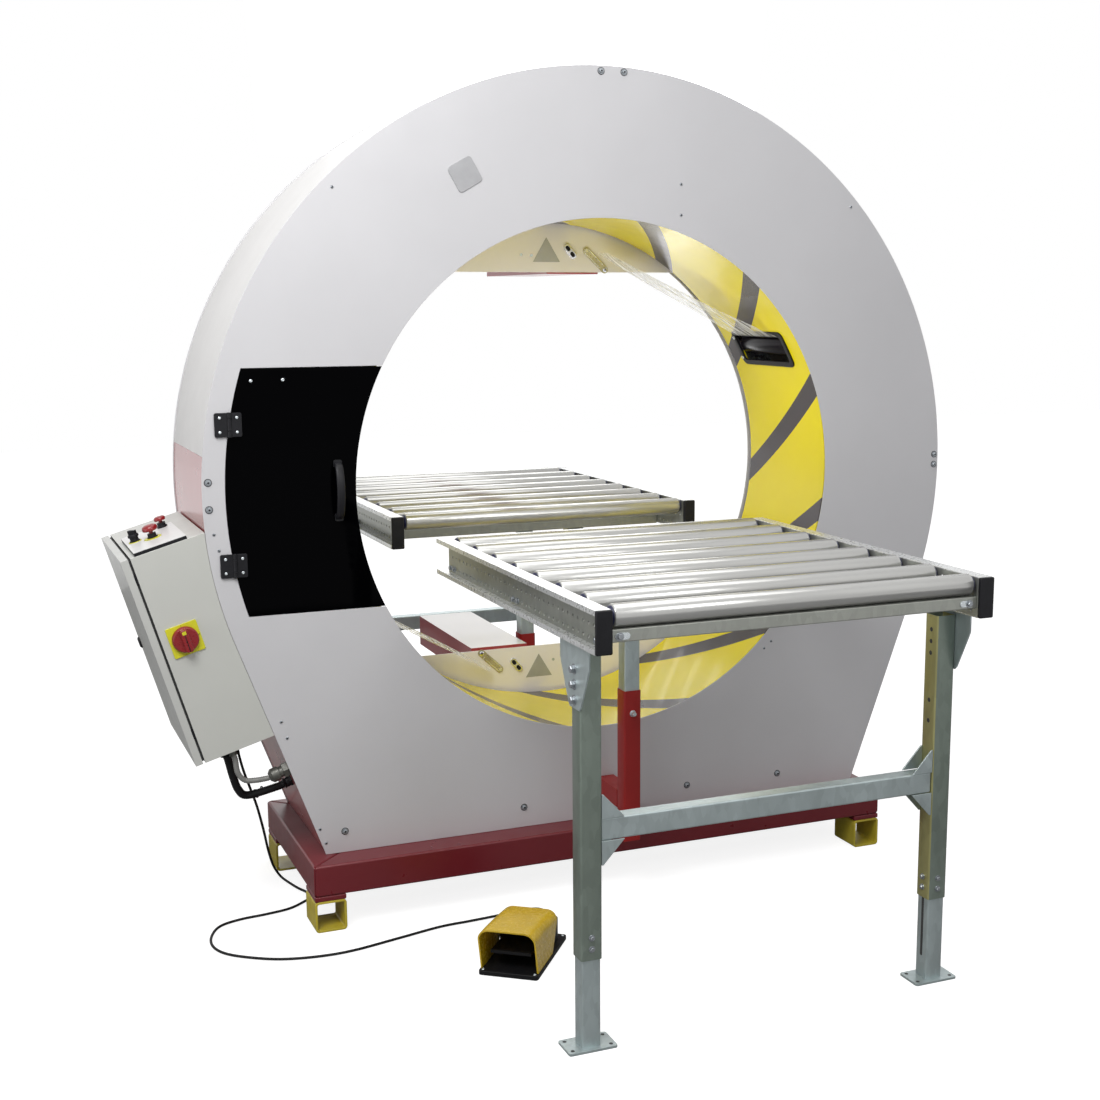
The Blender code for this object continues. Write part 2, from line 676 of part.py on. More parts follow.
def make_reels():
    disc_back = DISC_Y + DISC_T
    for letter, degrees in (("a", REEL_DEG), ("b", REEL_DEG + 180)):
        spindle = ring_point(degrees, REEL_FROM_AXIS)
        plate = box(-CARRIAGE / 2, CARRIAGE / 2, disc_back + GAP, disc_back + GAP + CARRIAGE_T,
                    -CARRIAGE / 2, CARRIAGE / 2)
        turn = Matrix.Rotation(-math.radians(degrees), 4, "Y")
        plate.transform(Matrix.Translation(spindle) @ turn)
        carriage = add_object(f"reel_carriage_{letter}", plate, "galvanised")
        join(carriage, rod(spindle, (0, 1, 0), SPINDLE_R, disc_back + CARRIAGE_T - 0.001, SPINDLE_BACK, 16))
        bore = SPINDLE_R + GAP
        profile = [(bore, REEL_FRONT), (bore, REEL_BACK), (REEL_R, REEL_BACK), (REEL_R, REEL_FRONT)]
        reel = add_object(f"film_reel_{letter}", turned(profile, spindle, (0, 1, 0), 24, closed=True),
                          "film", smooth=True)
        set_origin(reel, spindle)


def make_support_and_drive():
    roll_y = DISC_Y + DISC_T / 2 - SUPPORT_W / 2
    for number, degrees in enumerate(SUPPORT_DEGS, 1):
        centre = ring_point(degrees, DISC_R + GAP + SUPPORT_R)
        bore = SHAFT_R + GAP
        profile = [(bore, roll_y), (bore, roll_y + SUPPORT_W), (SUPPORT_R, roll_y + SUPPORT_W),
                   (SUPPORT_R, roll_y)]
        roller = add_object(f"support_roller_{number}", turned(profile, centre, (0, 1, 0), 20, closed=True),
                            "rubber", smooth=True)
        set_origin(roller, centre)
    centre = ring_point(WHEEL_DEG, DISC_R + GAP + WHEEL_R)
    shaft_end = MOTOR_FRONT - GAP
    profile = [(0, roll_y), (WHEEL_R, roll_y), (WHEEL_R, roll_y + SUPPORT_W), (WHEEL_SHAFT_R, roll_y + SUPPORT_W),
               (WHEEL_SHAFT_R, shaft_end), (0, shaft_end)]
    wheel = add_object("drive_wheel", turned(profile, centre, (0, 1, 0), 24), "rubber", smooth=True)
    set_origin(wheel, centre)
    back = DEPTH - SHEET - GAP
    profile = [(0, MOTOR_FRONT), (MOTOR_R * 0.6, MOTOR_FRONT), (MOTOR_R * 0.6, MOTOR_FRONT + 0.03),
               (MOTOR_R, MOTOR_FRONT + 0.03), (MOTOR_R, back), (0, back)]
    add_object("drive_motor", turned(profile, centre, (0, 1, 0), 20), "motor_grey", smooth=True)


# ------------------------------------------------------------------ tinted door
def make_tinted_door():
    outline = door_outline(HOLE_R + 0.0005, DOOR_R, DOOR_MID_Z - DOOR_HALF_H, DOOR_MID_Z + DOOR_HALF_H)
    door = add_object("tinted_door", prism(outline, DOOR_Y, DOOR_Y + DOOR_T), "tinted")
    leaf_start = HINGE_X + BARREL_R + 2 * GAP
    for z in HINGE_ZS:
        low = z - HINGE_H / 2
        high = z + HINGE_H / 2
        join(door, box(leaf_start, leaf_start + 0.024, -HINGE_LEAF_T, DOOR_Y + DOOR_T / 2, low, high))
    set_origin(door, (HINGE_X, HINGE_Y, DOOR_MID_Z))
    for name, z in zip(("door_hinge_upper", "door_hinge_lower"), HINGE_ZS):
        low = z - HINGE_H / 2
        high = z + HINGE_H / 2
        hinge = add_object(name, box(HINGE_LEAF_X, HINGE_X - 0.002, -HINGE_LEAF_T, -GAP, low, high),
                           "black_plastic")
        join(hinge, rod((HINGE_X, HINGE_Y, 0.0), (0, 0, 1), BARREL_R, low - 0.001, high + 0.001, 12))
    x0 = HANDLE_X - HANDLE_W / 2
    x1 = HANDLE_X + HANDLE_W / 2
    low, high = HANDLE_Z
    face = DOOR_Y - GAP
    handle = add_object("door_handle", box(x0, x1, face - HANDLE_REACH, face, low, high), "black_plastic")
    cut(handle, box(x0 - 0.01, x1 + 0.01, face - HANDLE_REACH + HANDLE_GRIP, face + 0.01,
                    low + HANDLE_FOOT, high - HANDLE_FOOT))


# ------------------------------------------------------------------ control cabinet
def housing_side(start, direction, clearance):
    """Distance from a start point to the housing's left edge along a direction."""
    near, far = 0.0, 0.5
    for _ in range(40):
        middle = (near + far) / 2
        if outside_housing(start + direction * middle) > clearance:
            near = middle
        else:
            far = middle
    return near


def cabinet_outline(left, top, right, bottom):
    """The cabinet's outline, moved in by these amounts from each of its sides."""
    top_left = CORNER + DOWN * top + ALONG * left
    low_left = CORNER + DOWN * (CAB_LEN - bottom) + ALONG * left
    clearance = CAB_CLEAR + right
    top_right = top_left + ALONG * housing_side(top_left, ALONG, clearance)
    low_right = low_left + ALONG * housing_side(low_left, ALONG, clearance)
    start = math.degrees(math.atan2(top_right.z - AXIS_Z, top_right.x)) % 360
    side = arc(HOUSING_R + clearance, start, 180 - TANGENT_DEG, 6)
    points = [(top_left.x, top_left.z), (top_right.x, top_right.z)] + side[1:]
    return points + [(low_right.x, low_right.z), (low_left.x, low_left.z)]


def on_cabinet(along, down, y):
    return CORNER + ALONG * along + DOWN * down + Vector((0.0, y, 0.0))


def cabinet_box(along, down, y):
    """A box in the cabinet's tilted directions, from three pairs of limits."""
    shape = box(along[0], along[1], y[0], y[1], -down[1], -down[0])
    turn = Matrix.Rotation(-TILT, 4, "Y")
    shape.transform(Matrix.Translation(CORNER) @ turn)
    return shape


def make_cabinet():
    y0, y1 = CAB_Y
    wall = CAB_WALL
    shell = add_object("cabinet_shell", prism(cabinet_outline(0.0, 0.0, 0.0, 0.0), y0, y1), "cabinet_grey")
    cut(shell, prism(cabinet_outline(-0.01, wall, wall, wall), y0 + wall, y1 - wall))
    half = SWITCH_PLATE / 2
    join(shell, cabinet_box((SWITCH_ALONG - half, SWITCH_ALONG + half),
                            (SWITCH_DOWN - half, SWITCH_DOWN + half), (y0 - SWITCH_PLATE_T, y0 + 0.001)))
    join(shell, cabinet_box(PAD_ALONG, (-PAD_T, 0.001), PAD_Y))
    for along, y, _, _ in BUTTONS.values():
        join(shell, rod(on_cabinet(along, -PAD_T, y), -DOWN, BUTTON_STEM_R, -0.001, STEM_H, 12))
    for name in PRESSED:
        along, y = BUTTONS[name][:2]
        depth = BUTTON_TRAVEL + BUTTON_PIN_IN + 0.002
        cut(shell, rod(on_cabinet(along, -PAD_T - STEM_H, y), DOWN, BUTTON_PIN_R + GAP, -0.01, depth, 12))
    join(shell, rod(on_cabinet(CABLE_GLAND_ALONG, CAB_LEN, CABLE_GLAND_Y), DOWN, GLAND_R, -0.001, GLAND_LEN, 12))
    join(shell, rod(on_cabinet(CONDUIT_GLAND_ALONG, CAB_LEN, CONDUIT_GLAND_Y), DOWN, ENTRY_GLAND_R,
                    -0.001, GLAND_LEN, 12))

    door = add_object("cabinet_door", cabinet_box((-CAB_DOOR_T, -GAP), (0.0, CAB_LEN), CAB_Y), "cabinet_grey")
    cut(door, cabinet_box((-CAB_DOOR_T + wall, 0.01), (wall, CAB_LEN - wall), (y0 + wall, y1 - wall)))
    set_origin(door, on_cabinet(-GAP / 2, 0.0, y0))
    cable_start = on_cabinet(CABLE_GLAND_ALONG, CAB_LEN + GLAND_LEN + GAP, CABLE_GLAND_Y)
    conduit_start = on_cabinet(CONDUIT_GLAND_ALONG, CAB_LEN + GLAND_LEN + GAP, CONDUIT_GLAND_Y)
    lock_seat = on_cabinet(-CAB_DOOR_T, LOCK_DOWN, LOCK_Y)
    lock = add_object("cabinet_lock", rod(lock_seat, -ALONG, LOCK_R, GAP, LOCK_T, 16), "black_plastic", smooth=True)
    set_origin(lock, lock_seat)

    face = y0 - SWITCH_PLATE_T
    seat = on_cabinet(SWITCH_ALONG, SWITCH_DOWN, face)
    knob = add_object("main_switch_knob", rod(seat, (0, -1, 0), SWITCH_R, GAP, SWITCH_T, 20), "switch_red",
                      smooth=True)
    join(knob, cabinet_box((SWITCH_ALONG - 0.008, SWITCH_ALONG + 0.008),
                           (SWITCH_DOWN - SWITCH_R * 0.9, SWITCH_DOWN + SWITCH_R * 0.9),
                           (face - SWITCH_T - 0.008, face - SWITCH_T + 0.001)))
    set_origin(knob, seat)

    for name, (along, y, radius, height) in BUTTONS.items():
        base = on_cabinet(along, -PAD_T - STEM_H, y)
        start = GAP
        look = "black_plastic"
        if name in PRESSED:
            start += BUTTON_TRAVEL
            look = "switch_red"
        cap = add_object(name, rod(base, -DOWN, radius, start, start + height, 16), look, smooth=True)
        if name in PRESSED:
            join(cap, rod(base, -DOWN, BUTTON_PIN_R, -BUTTON_PIN_IN, start + 0.001, 12))
        set_origin(cap, base)
    return cable_start, conduit_start


# ------------------------------------------------------------------ foot pedal
def pedal_frame():
    turn = Matrix.Rotation(math.radians(PEDAL_TURN_DEG), 4, "Z")
    return Matrix.Translation((PEDAL_CENTRE[0], PEDAL_CENTRE[1], 0.0)) @ turn


def in_pedal(shape):
    shape.transform(pedal_frame())
    return shape


def hood_outline(inset, low):
    half = HOOD_W / 2 - inset
    top = HOOD_TOP - inset
    radius = HOOD_CORNER - inset
    points = [(half, low)]
    for i in range(7):
        angle = math.pi / 2 * i / 6
        points.append((half - radius + radius * math.cos(angle), top - radius + radius * math.sin(angle)))
    return points + [(-x, z) for x, z in points[::-1]]


def hood_shape(inset, low, longer):
    """The hood's outside, or its inside with an inset, leaning out at both ends."""
    shape = prism(hood_outline(inset, low), HOOD_FRONT - longer, HOOD_BACK + longer)
    drop = (HOOD_REAR_TOP - PEDAL_PLATE) / (HOOD_TOP - PEDAL_PLATE)
    for vert in shape.verts:
        share = (vert.co.z - PEDAL_PLATE) / (HOOD_TOP - PEDAL_PLATE)
        if vert.co.y < 0:
            vert.co.y += HOOD_LEAN_FRONT * share
        else:
            vert.co.y += HOOD_LEAN_BACK * share
            vert.co.z = PEDAL_PLATE + (vert.co.z - PEDAL_PLATE) * drop
    return in_pedal(shape)


def make_pedal():
    half_w = PEDAL_W / 2
    half_l = PEDAL_LEN / 2
    base = add_object("pedal_base", in_pedal(box(-half_w, half_w, -half_l, half_l, 0.0, PEDAL_PLATE)),
                      "black_plastic")
    join(base, in_pedal(box(-BLOCK_HALF, BLOCK_HALF, BLOCK_FRONT, BLOCK_BACK, PEDAL_PLATE - 0.001, BLOCK_TOP)))
    gland = rod((0.0, BLOCK_BACK, PEDAL_GLAND_Z), (0, 1, 0), GLAND_R, -0.001, GLAND_LEN, 12)
    join(base, in_pedal(gland))

    low = PEDAL_PLATE + GAP
    hood = add_object("pedal_hood", hood_shape(0.0, low, 0.0), "pedal_yellow", smooth=True)
    cut(hood, hood_shape(HOOD_WALL, low - 0.01, 0.01))

    pivot_y, pivot_z = TREADLE_PIVOT
    shape = bmesh.new()
    side = []
    for x in (-TREADLE_HALF, TREADLE_HALF):
        corners = [(pivot_y, pivot_z + TREADLE_T / 2), (TREADLE_FRONT, TREADLE_FRONT_Z + TREADLE_T),
                   (TREADLE_FRONT, TREADLE_FRONT_Z), (pivot_y, pivot_z - TREADLE_T / 2)]
        side.append([shape.verts.new((x, y, z)) for y, z in corners])
    shape.faces.new(side[0])
    shape.faces.new(side[1][::-1])
    for i in range(4):
        j = (i + 1) % 4
        shape.faces.new((side[0][j], side[0][i], side[1][i], side[1][j]))
    treadle = add_object("pedal_treadle", in_pedal(shape), "black_plastic")
    join(treadle, in_pedal(rod((0.0, pivot_y, pivot_z), (1, 0, 0), TREADLE_PIN_R,
                               -TREADLE_HALF - 0.001, TREADLE_HALF + 0.001, 12)))
    set_origin(treadle, pedal_frame() @ Vector((0.0, pivot_y, pivot_z)))
    cable_end = pedal_frame() @ Vector((0.0, BLOCK_BACK + GLAND_LEN + GAP, PEDAL_GLAND_Z))
    return cable_end, pedal_frame().to_3x3() @ Vector((0.0, 1.0, 0.0))


# ------------------------------------------------------------------ roller tables
def rail_outline(side):
    """Channel section of a side rail, open to the outside."""
    web = side * WEB_IN
    web_out = side * (WEB_IN + RAIL_T)
    lip = side * RAIL_OUT
    low, high = RAIL_LOW, TABLE_TOP
    return [(web, low), (lip, low), (lip, low + RAIL_T), (web_out, low + RAIL_T), (web_out, high - RAIL_T),
            (lip, high - RAIL_T), (lip, high), (web, high)]


def make_table(name, start, out):
    """A roller table.  out is -1 towards the operator and +1 away, start is its end at the ring."""
    def span(from_end, to_end):
        """y limits of a stretch given by its distances from the end at the ring."""
        return sorted((start + out * from_end, start + out * to_end))

    capped_start = CAP_T - 0.001 if out > 0 else 0.0
    rail = span(capped_start, TABLE_LEN - CAP_T + 0.001)
    frame = add_object(f"{name}_table_frame", prism(rail_outline(-1), *rail), "galvanised")
    join(frame, prism(rail_outline(1), *rail))
    reach = WEB_IN + 0.001
    bar_mid = TABLE_LEN - ROLLER_INSET
    post_y = -POST_OUT if out < 0 else DEPTH + POST_OUT
    for bar_y in (start + out * (TABLE_LEN - ROLLER_INSET), post_y):
        low = RAIL_LOW - 0.002
        front, back = bar_y - BAR_DEEP / 2, bar_y + BAR_DEEP / 2
        join(frame, box(-reach, reach, front, back, low, low + BAR))
        cut(frame, box(-WEB_IN + RAIL_T, WEB_IN - RAIL_T, front + RAIL_T, back - RAIL_T, low - 0.01,
                       low + BAR - RAIL_T))
    join(frame, square_box(0.0, post_y, TUBE, POST_TUBE_LOW, RAIL_LOW + BAR - RAIL_T))
    cut(frame, square_box(0.0, post_y, TUBE - 2 * LEG_WALL, POST_TUBE_LOW - 0.01, RAIL_LOW + BAR - 0.004))
    leg_y = start + out * (TABLE_LEN - LEG_IN)
    for side in (-1, 1):
        cap_x = (side * WEB_IN, side * RAIL_OUT)
        join(frame, box(*cap_x, *span(TABLE_LEN - CAP_T, TABLE_LEN), RAIL_LOW, TABLE_TOP))
        if out > 0:
            join(frame, box(*cap_x, *span(0.0, CAP_T), RAIL_LOW, TABLE_TOP))
        leg_x = side * LEG_X
        join(frame, square_box(leg_x, leg_y, LEG, LEG_LOW, LEG_TOP))
        outer = side * (LEG_X + LEG / 2 - 0.0005)
        plate = bmesh.new()
        loops = []
        for x in (outer, outer + side * BRACKET_T):
            corners = [(-BRACKET_TOP_HALF, RAIL_LOW + RAIL_T / 2), (BRACKET_TOP_HALF, RAIL_LOW + RAIL_T / 2),
                       (BRACKET_TOP_HALF, RAIL_LOW - 0.06), (BRACKET_LOW_HALF, BRACKET_LOW),
                       (-BRACKET_LOW_HALF, BRACKET_LOW), (-BRACKET_TOP_HALF, RAIL_LOW - 0.06)]
            loops.append([plate.verts.new((x, leg_y + y, z)) for y, z in corners])
        plate.faces.new(loops[0])
        plate.faces.new(loops[1][::-1])
        for i in range(6):
            j = (i + 1) % 6
            plate.faces.new((loops[0][j], loops[0][i], loops[1][i], loops[1][j]))
        join(frame, plate)
        lower = add_object(f"{name}_leg_{'left' if side < 0 else 'right'}",
                           square_box(leg_x, leg_y, LOWER_LEG, FOOT_PLATE[2] - 0.001, LOWER_TOP), "galvanised")
        cut(lower, square_box(leg_x, leg_y, LOWER_LEG - 2 * LEG_WALL, FOOT_PLATE[2], LOWER_TOP + 0.01))
        length, width, thick = FOOT_PLATE
        join(lower, box(leg_x - length / 2, leg_x + length / 2, leg_y - width / 2, leg_y + width / 2, 0.0, thick))
    inner = LEG_X - LEG / 2 + 0.001
    join(frame, box(-inner, inner, leg_y - CROSS_DEEP / 2, leg_y + CROSS_DEEP / 2, CROSS_LOW, CROSS_LOW + CROSS_H))
    hollow = inner - 0.004
    cut(frame, box(-hollow, hollow, leg_y - CROSS_DEEP / 2 + RAIL_T, leg_y + CROSS_DEEP / 2 - RAIL_T,
                   CROSS_LOW - 0.01, CROSS_LOW + CROSS_H - RAIL_T))
    for side in (-1, 1):
        cut(frame, square_box(side * LEG_X, leg_y, LEG - 2 * LEG_WALL, LEG_LOW - 0.01, LEG_TOP + 0.01))
    for number in range(ROLLERS):
        y = start + out * (ROLLER_INSET + PITCH * number)
        join(frame, rod((0.0, y, ROLLER_Z), (1, 0, 0), AXLE_R, -reach, reach, 12))

    bore = AXLE_R + GAP
    inside = ROLLER_R - ROLLER_WALL
    plug = ROLLER_HALF - ROLLER_PLUG
    profile = [(bore, -ROLLER_HALF), (ROLLER_R, -ROLLER_HALF), (ROLLER_R, ROLLER_HALF), (bore, ROLLER_HALF),
               (bore, plug), (inside, plug), (inside, -plug), (bore, -plug)]
    for number in range(1, ROLLERS + 1):
        y = start + out * (ROLLER_INSET + PITCH * (number - 1))
        roller = add_object(f"{name}_roller_{number}", turned(profile, (0, 0, 0), (1, 0, 0), ROLLER_STEPS, closed=True),
                            "roller_steel", smooth=True)
        roller.location = (0.0, y, ROLLER_Z)


# ------------------------------------------------------------------ build
make_base_frame()
make_panels()
conduit_end, conduit_way = make_covers()
for upper, word in ((True, "top"), (False, "bottom")):
    make_tray(f"{word}_tray", upper)
    make_clamp_housing(word)
    make_cutter_arm(f"{word}_cutter_arm", upper)
make_ring()
make_reels()
make_support_and_drive()
make_tinted_door()
cable_start, conduit_start = make_cabinet()
cable_end, cable_way = make_pedal()
make_table("near", NEAR_START, -1)
make_table("far", FAR_START, 1)
cable = [cable_start, cable_start + DOWN * LEAD] + CABLE_ROUTE + [cable_end + cable_way * LEAD, cable_end]
tube_along("pedal_cable", cable, CABLE_POINTS, CABLE_R, "rubber")
conduit = [conduit_start, conduit_start + DOWN * LEAD] + CONDUIT_ROUTE
conduit += [conduit_end + conduit_way * LEAD, conduit_end]
tube_along("cabinet_conduit", conduit, CONDUIT_POINTS, CONDUIT_R, "rubber")
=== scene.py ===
"""Ring stretch wrapper with roller tables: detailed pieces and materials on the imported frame.

Sizes are in the machine's own frame (ring axis x = 0, front panel's outer face y = 0, floor z = 0).
"""
import math

import bmesh
import bpy
from mathutils import Matrix, Vector


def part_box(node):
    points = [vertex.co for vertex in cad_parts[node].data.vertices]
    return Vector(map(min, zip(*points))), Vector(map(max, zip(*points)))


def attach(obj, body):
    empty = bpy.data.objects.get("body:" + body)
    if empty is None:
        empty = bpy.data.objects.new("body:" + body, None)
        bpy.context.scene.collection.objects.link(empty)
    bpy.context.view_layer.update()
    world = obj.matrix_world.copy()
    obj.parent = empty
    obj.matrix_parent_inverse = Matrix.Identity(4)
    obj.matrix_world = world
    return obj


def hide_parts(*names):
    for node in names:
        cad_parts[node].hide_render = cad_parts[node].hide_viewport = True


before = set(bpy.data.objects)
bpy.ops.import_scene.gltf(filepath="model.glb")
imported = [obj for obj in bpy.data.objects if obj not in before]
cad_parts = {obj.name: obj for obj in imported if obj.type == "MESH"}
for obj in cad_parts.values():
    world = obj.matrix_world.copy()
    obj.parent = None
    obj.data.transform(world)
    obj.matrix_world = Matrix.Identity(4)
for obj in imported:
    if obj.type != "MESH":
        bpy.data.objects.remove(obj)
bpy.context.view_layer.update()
low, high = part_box("front_panel")
ORIGIN = Vector(((low[0] + high[0]) / 2, low[1], 0.0))

# ------------------------------------------------------------------ sizes shared with the CAD
GAP = 0.0003
SHEET = 0.003
AXIS_Z = 1.148
HOLE_R = 0.700
BACK_HOLE_R = 0.706
HOUSING_R = 1.092
TANGENT_DEG = -20.0
DEPTH = 0.485
COVER_R = 1.089
BASE_HALF = 0.863
BASE_FRONT = -0.083
BASE_REAR = 0.520
BASE_LOW = 0.098
BASE_TOP = 0.182
FOOT = 0.084
FOOT_LEN = 0.110
DRUM_R = 0.708
TILT = math.radians(16.4)
ALONG = Vector((math.cos(TILT), 0.0, math.sin(TILT)))
DOWN = Vector((math.sin(TILT), 0.0, -math.cos(TILT)))
CORNER = Vector((-1.272, 0.0, 1.010))
CAB_LEN = 0.562
CAB_Y = (0.001, 0.440)
EDGE_OUT = Vector((-math.cos(math.radians(20)), 0.0, -math.sin(math.radians(20))))
TABLE_LEN = 1.075
TABLE_TOP = 1.0134
RAIL_H = 0.094
RAIL_LOW = TABLE_TOP - RAIL_H
RAIL_T = 0.003
RAIL_OUT = 0.490
WEB_IN = 0.453
ROLLERS = 8
ROLLER_R = 0.025
ROLLER_Z = TABLE_TOP + 0.006 - ROLLER_R
INSET = 0.035
PITCH = (TABLE_LEN - 2 * INSET) / (ROLLERS - 1)
LEG_X = 0.451
LEG_IN = 0.145
LEG = 0.050
INNER_TUBE = 0.0444
LEG_TIE = (0.478, 0.528)
POST = 0.050
POST_OUT = 0.158
POST_ARM = (0.25, 0.30)

# ------------------------------------------------------------------ materials
MATS = {}


class Nodes:
    """A short way to add, feed and link shader nodes."""

    def __init__(self, tree):
        self.tree = tree

    def feed(self, node, inputs):
        """Give inputs, by name or number, their values or links."""
        for key, source in inputs.items():
            if isinstance(source, bpy.types.NodeSocket):
                self.tree.links.new(source, node.inputs[key])
            else:
                node.inputs[key].default_value = source

    def add(self, kind, inputs=None, **settings):
        node = self.tree.nodes.new("ShaderNode" + kind)
        for key, value in settings.items():
            setattr(node, key, value)
        self.feed(node, inputs or {})
        return node

    def math(self, operation, a, b=0.0):
        return self.add("Math", {0: a, 1: b}, operation=operation).outputs[0]

    def mix(self, factor, a, b):
        return self.add("Mix", {0: factor, 6: a, 7: b}, data_type="RGBA").outputs[2]

    def noise(self, vector, scale, detail):
        inputs = {"Vector": vector, "Scale": scale, "Detail": detail, "Roughness": 0.55}
        return self.add("TexNoise", inputs).outputs["Fac"]

    def spread(self, source, low, high, start=0.3, end=0.7):
        """Values from start to end, spread from low to high."""
        inputs = {"Value": source, "From Min": start, "From Max": end, "To Min": low, "To Max": high}
        return self.add("MapRange", inputs).outputs["Result"]

    def coords(self, scale=(1.0, 1.0, 1.0)):
        place = self.add("TexCoord").outputs["Object"]
        return self.add("Mapping", {"Vector": place, "Scale": scale}).outputs["Vector"]

    def bump(self, height, strength, distance):
        inputs = {"Height": height, "Strength": strength, "Distance": distance}
        return self.add("Bump", inputs).outputs["Normal"]


def tint(colour, amount):
    """A brighter or darker colour with its alpha."""
    return tuple(min(1.0, c * amount) for c in colour) + (1.0,)


def base_material(name, coat=0.0, specular=0.5):
    material = bpy.data.materials.new(name)
    material.use_nodes = True
    MATS[name] = material
    nodes = Nodes(material.node_tree)
    shader = material.node_tree.nodes["Principled BSDF"]
    nodes.feed(shader, {"Coat Weight": coat, "Specular IOR Level": specular})
    return nodes, shader


def surface(name, colour, rough, metal=0.0, vary=0.06, scale=6.0, stretch=(1.0, 1.0, 1.0),
            rough_vary=0.06, bump=0.05, bump_scale=350.0, bump_height=0.0004, coat=0.0, specular=0.5):
    """Paint, plastic or metal with uneven colour and roughness and a fine surface texture."""
    nodes, shader = base_material(name, coat, specular)
    grain = nodes.coords(stretch)
    patches = nodes.spread(nodes.noise(grain, scale, 4.0), 0.0, 1.0)
    wear = nodes.noise(grain, scale * 5.0, 4.0)
    nodes.feed(shader, {
        "Base Color": nodes.mix(patches, tint(colour, 1.0 - vary), tint(colour, 1.0 + vary)),
        "Roughness": nodes.spread(wear, max(0.02, rough - rough_vary), rough + rough_vary),
        "Metallic": metal,
        "Normal": nodes.bump(nodes.noise(grain, bump_scale, 2.0), bump, bump_height)})


def make_materials():
    surface("panel", (0.58, 0.575, 0.59), 0.50, 0.12, vary=0.03, scale=2.0, rough_vary=0.05,
            bump=0.25, bump_scale=900, bump_height=0.00015)
    surface("cover", (0.74, 0.73, 0.72), 0.42, vary=0.03, scale=3.0, bump=0.1, bump_scale=600)
    surface("red", (0.32, 0.017, 0.016), 0.36, vary=0.08, scale=4.0, bump=0.06, bump_scale=260,
            specular=0.3)
    surface("red_side", (0.36, 0.075, 0.080), 0.28, vary=0.02, scale=1.5, rough_vary=0.01,
            bump=0.01, coat=0.4)
    # Near-white colour for the clamp housings' upward faces: painted reflection of the white background on
    # their tops.
    surface("clamp_top_painted_reflection", (0.98, 0.95, 0.95), 0.30, vary=0.01, scale=3.0, rough_vary=0.01,
            bump=0.01, coat=0.8)
    surface("red_dark", (0.150, 0.010, 0.016), 0.30, vary=0.08, scale=3.0, rough_vary=0.03,
            bump=0.06, bump_scale=220, specular=0.45)
    surface("red_box", (0.42, 0.050, 0.060), 0.30, scale=4.0, rough_vary=0.02, bump=0.04, coat=0.4)
    surface("olive", (0.52, 0.42, 0.035), 0.42, vary=0.15, scale=14.0, bump=0.3, bump_scale=240)
    surface("beige", (0.95, 0.92, 0.97), 0.36, vary=0.02, scale=4.0, bump=0.1)
    surface("zinc", (0.56, 0.60, 0.62), 0.28, 0.9, vary=0.10, scale=30.0,
            rough_vary=0.08, bump=0.1)
    surface("zinc_gold", (0.55, 0.50, 0.30), 0.30, 0.85, vary=0.15, scale=40.0, bump=0.1)
    surface("roller", (0.46, 0.46, 0.445), 0.24, 0.55, vary=0.02, scale=2.0,
            rough_vary=0.008, bump=0.0)
    surface("flange", (0.60, 0.61, 0.61), 0.30, 0.55, vary=0.08, scale=25.0)
    surface("bolt", (0.30, 0.32, 0.34), 0.30, 0.75, vary=0.15, scale=60.0)
    surface("bearing", (0.012, 0.014, 0.05), 0.32, vary=0.15, scale=60.0, bump=0.1)
    surface("black", (0.008, 0.008, 0.010), 0.42, vary=0.2, scale=40.0, bump=0.2,
            bump_scale=900, specular=0.22)
    surface("black_soft", (0.006, 0.006, 0.007), 0.50, vary=0.25, scale=30.0, bump=0.3,
            bump_scale=700, specular=0.2)
    surface("grey_gland", (0.20, 0.20, 0.19), 0.45, vary=0.1, scale=50.0, bump=0.2)
    surface("grey_nut", (0.085, 0.085, 0.075), 0.40, 0.4, vary=0.2, scale=50.0, bump=0.2)
    for name, colour, rough in (("cabinet", (0.54, 0.545, 0.51), 0.38),
                                ("cabinet_door", (0.52, 0.525, 0.50), 0.36)):
        surface(name, colour, rough, vary=0.02, bump=0.35, bump_scale=420, bump_height=0.0002,
                coat=0.1)
    # Also the colour of the discs and strip that stand for holes and a slot in the legs: painted shade.
    surface("gasket", (0.03, 0.03, 0.03), 0.7, vary=0.2, scale=60.0, bump=0.2)
    surface("switch_red", (0.24, 0.006, 0.009), 0.30, vary=0.08, scale=40.0, bump=0.1, coat=0.2)
    surface("switch_yellow", (0.62, 0.60, 0.02), 0.35, vary=0.05, scale=30.0, bump=0.1)
    surface("hood_yellow", (0.74, 0.50, 0.02), 0.26, vary=0.08, scale=18.0, bump=0.15,
            bump_scale=500, coat=0.3)
    surface("plate_neutral", (0.46, 0.46, 0.45), 0.4, 0.3, vary=0.05, scale=30.0, bump=0.1)
    surface("badge", (0.34, 0.34, 0.35), 0.4, 0.4, vary=0.05, scale=30.0, bump=0.1)
    surface("chrome", (0.75, 0.75, 0.76), 0.12, 1.0, vary=0.04, scale=40.0,
            rough_vary=0.04, bump=0.02)
    surface("white_plastic", (0.72, 0.72, 0.71), 0.35, vary=0.03, scale=30.0, bump=0.1)
    surface("slot_roller", (0.008, 0.006, 0.009), 0.22, vary=0.2, scale=30.0, rough_vary=0.02,
            bump=0.02, specular=0.16)
    surface("motor", (0.14, 0.16, 0.18), 0.45, vary=0.1, scale=20.0, bump=0.2)
    surface("rubber", (0.008, 0.008, 0.008), 0.6, vary=0.2, scale=40.0, bump=0.3, specular=0.2)
    surface("film_roll", (0.66, 0.72, 0.76), 0.18, scale=3.0, stretch=(1.0, 60.0, 1.0), bump=0.2,
            bump_scale=30, coat=0.4)
    surface("tinted", (0.0005, 0.0005, 0.0008), 0.04, vary=0.1, scale=2.0, rough_vary=0.01,
            bump=0.01, specular=0.02)
    make_galvanised()
    make_lining()
    make_film_material()


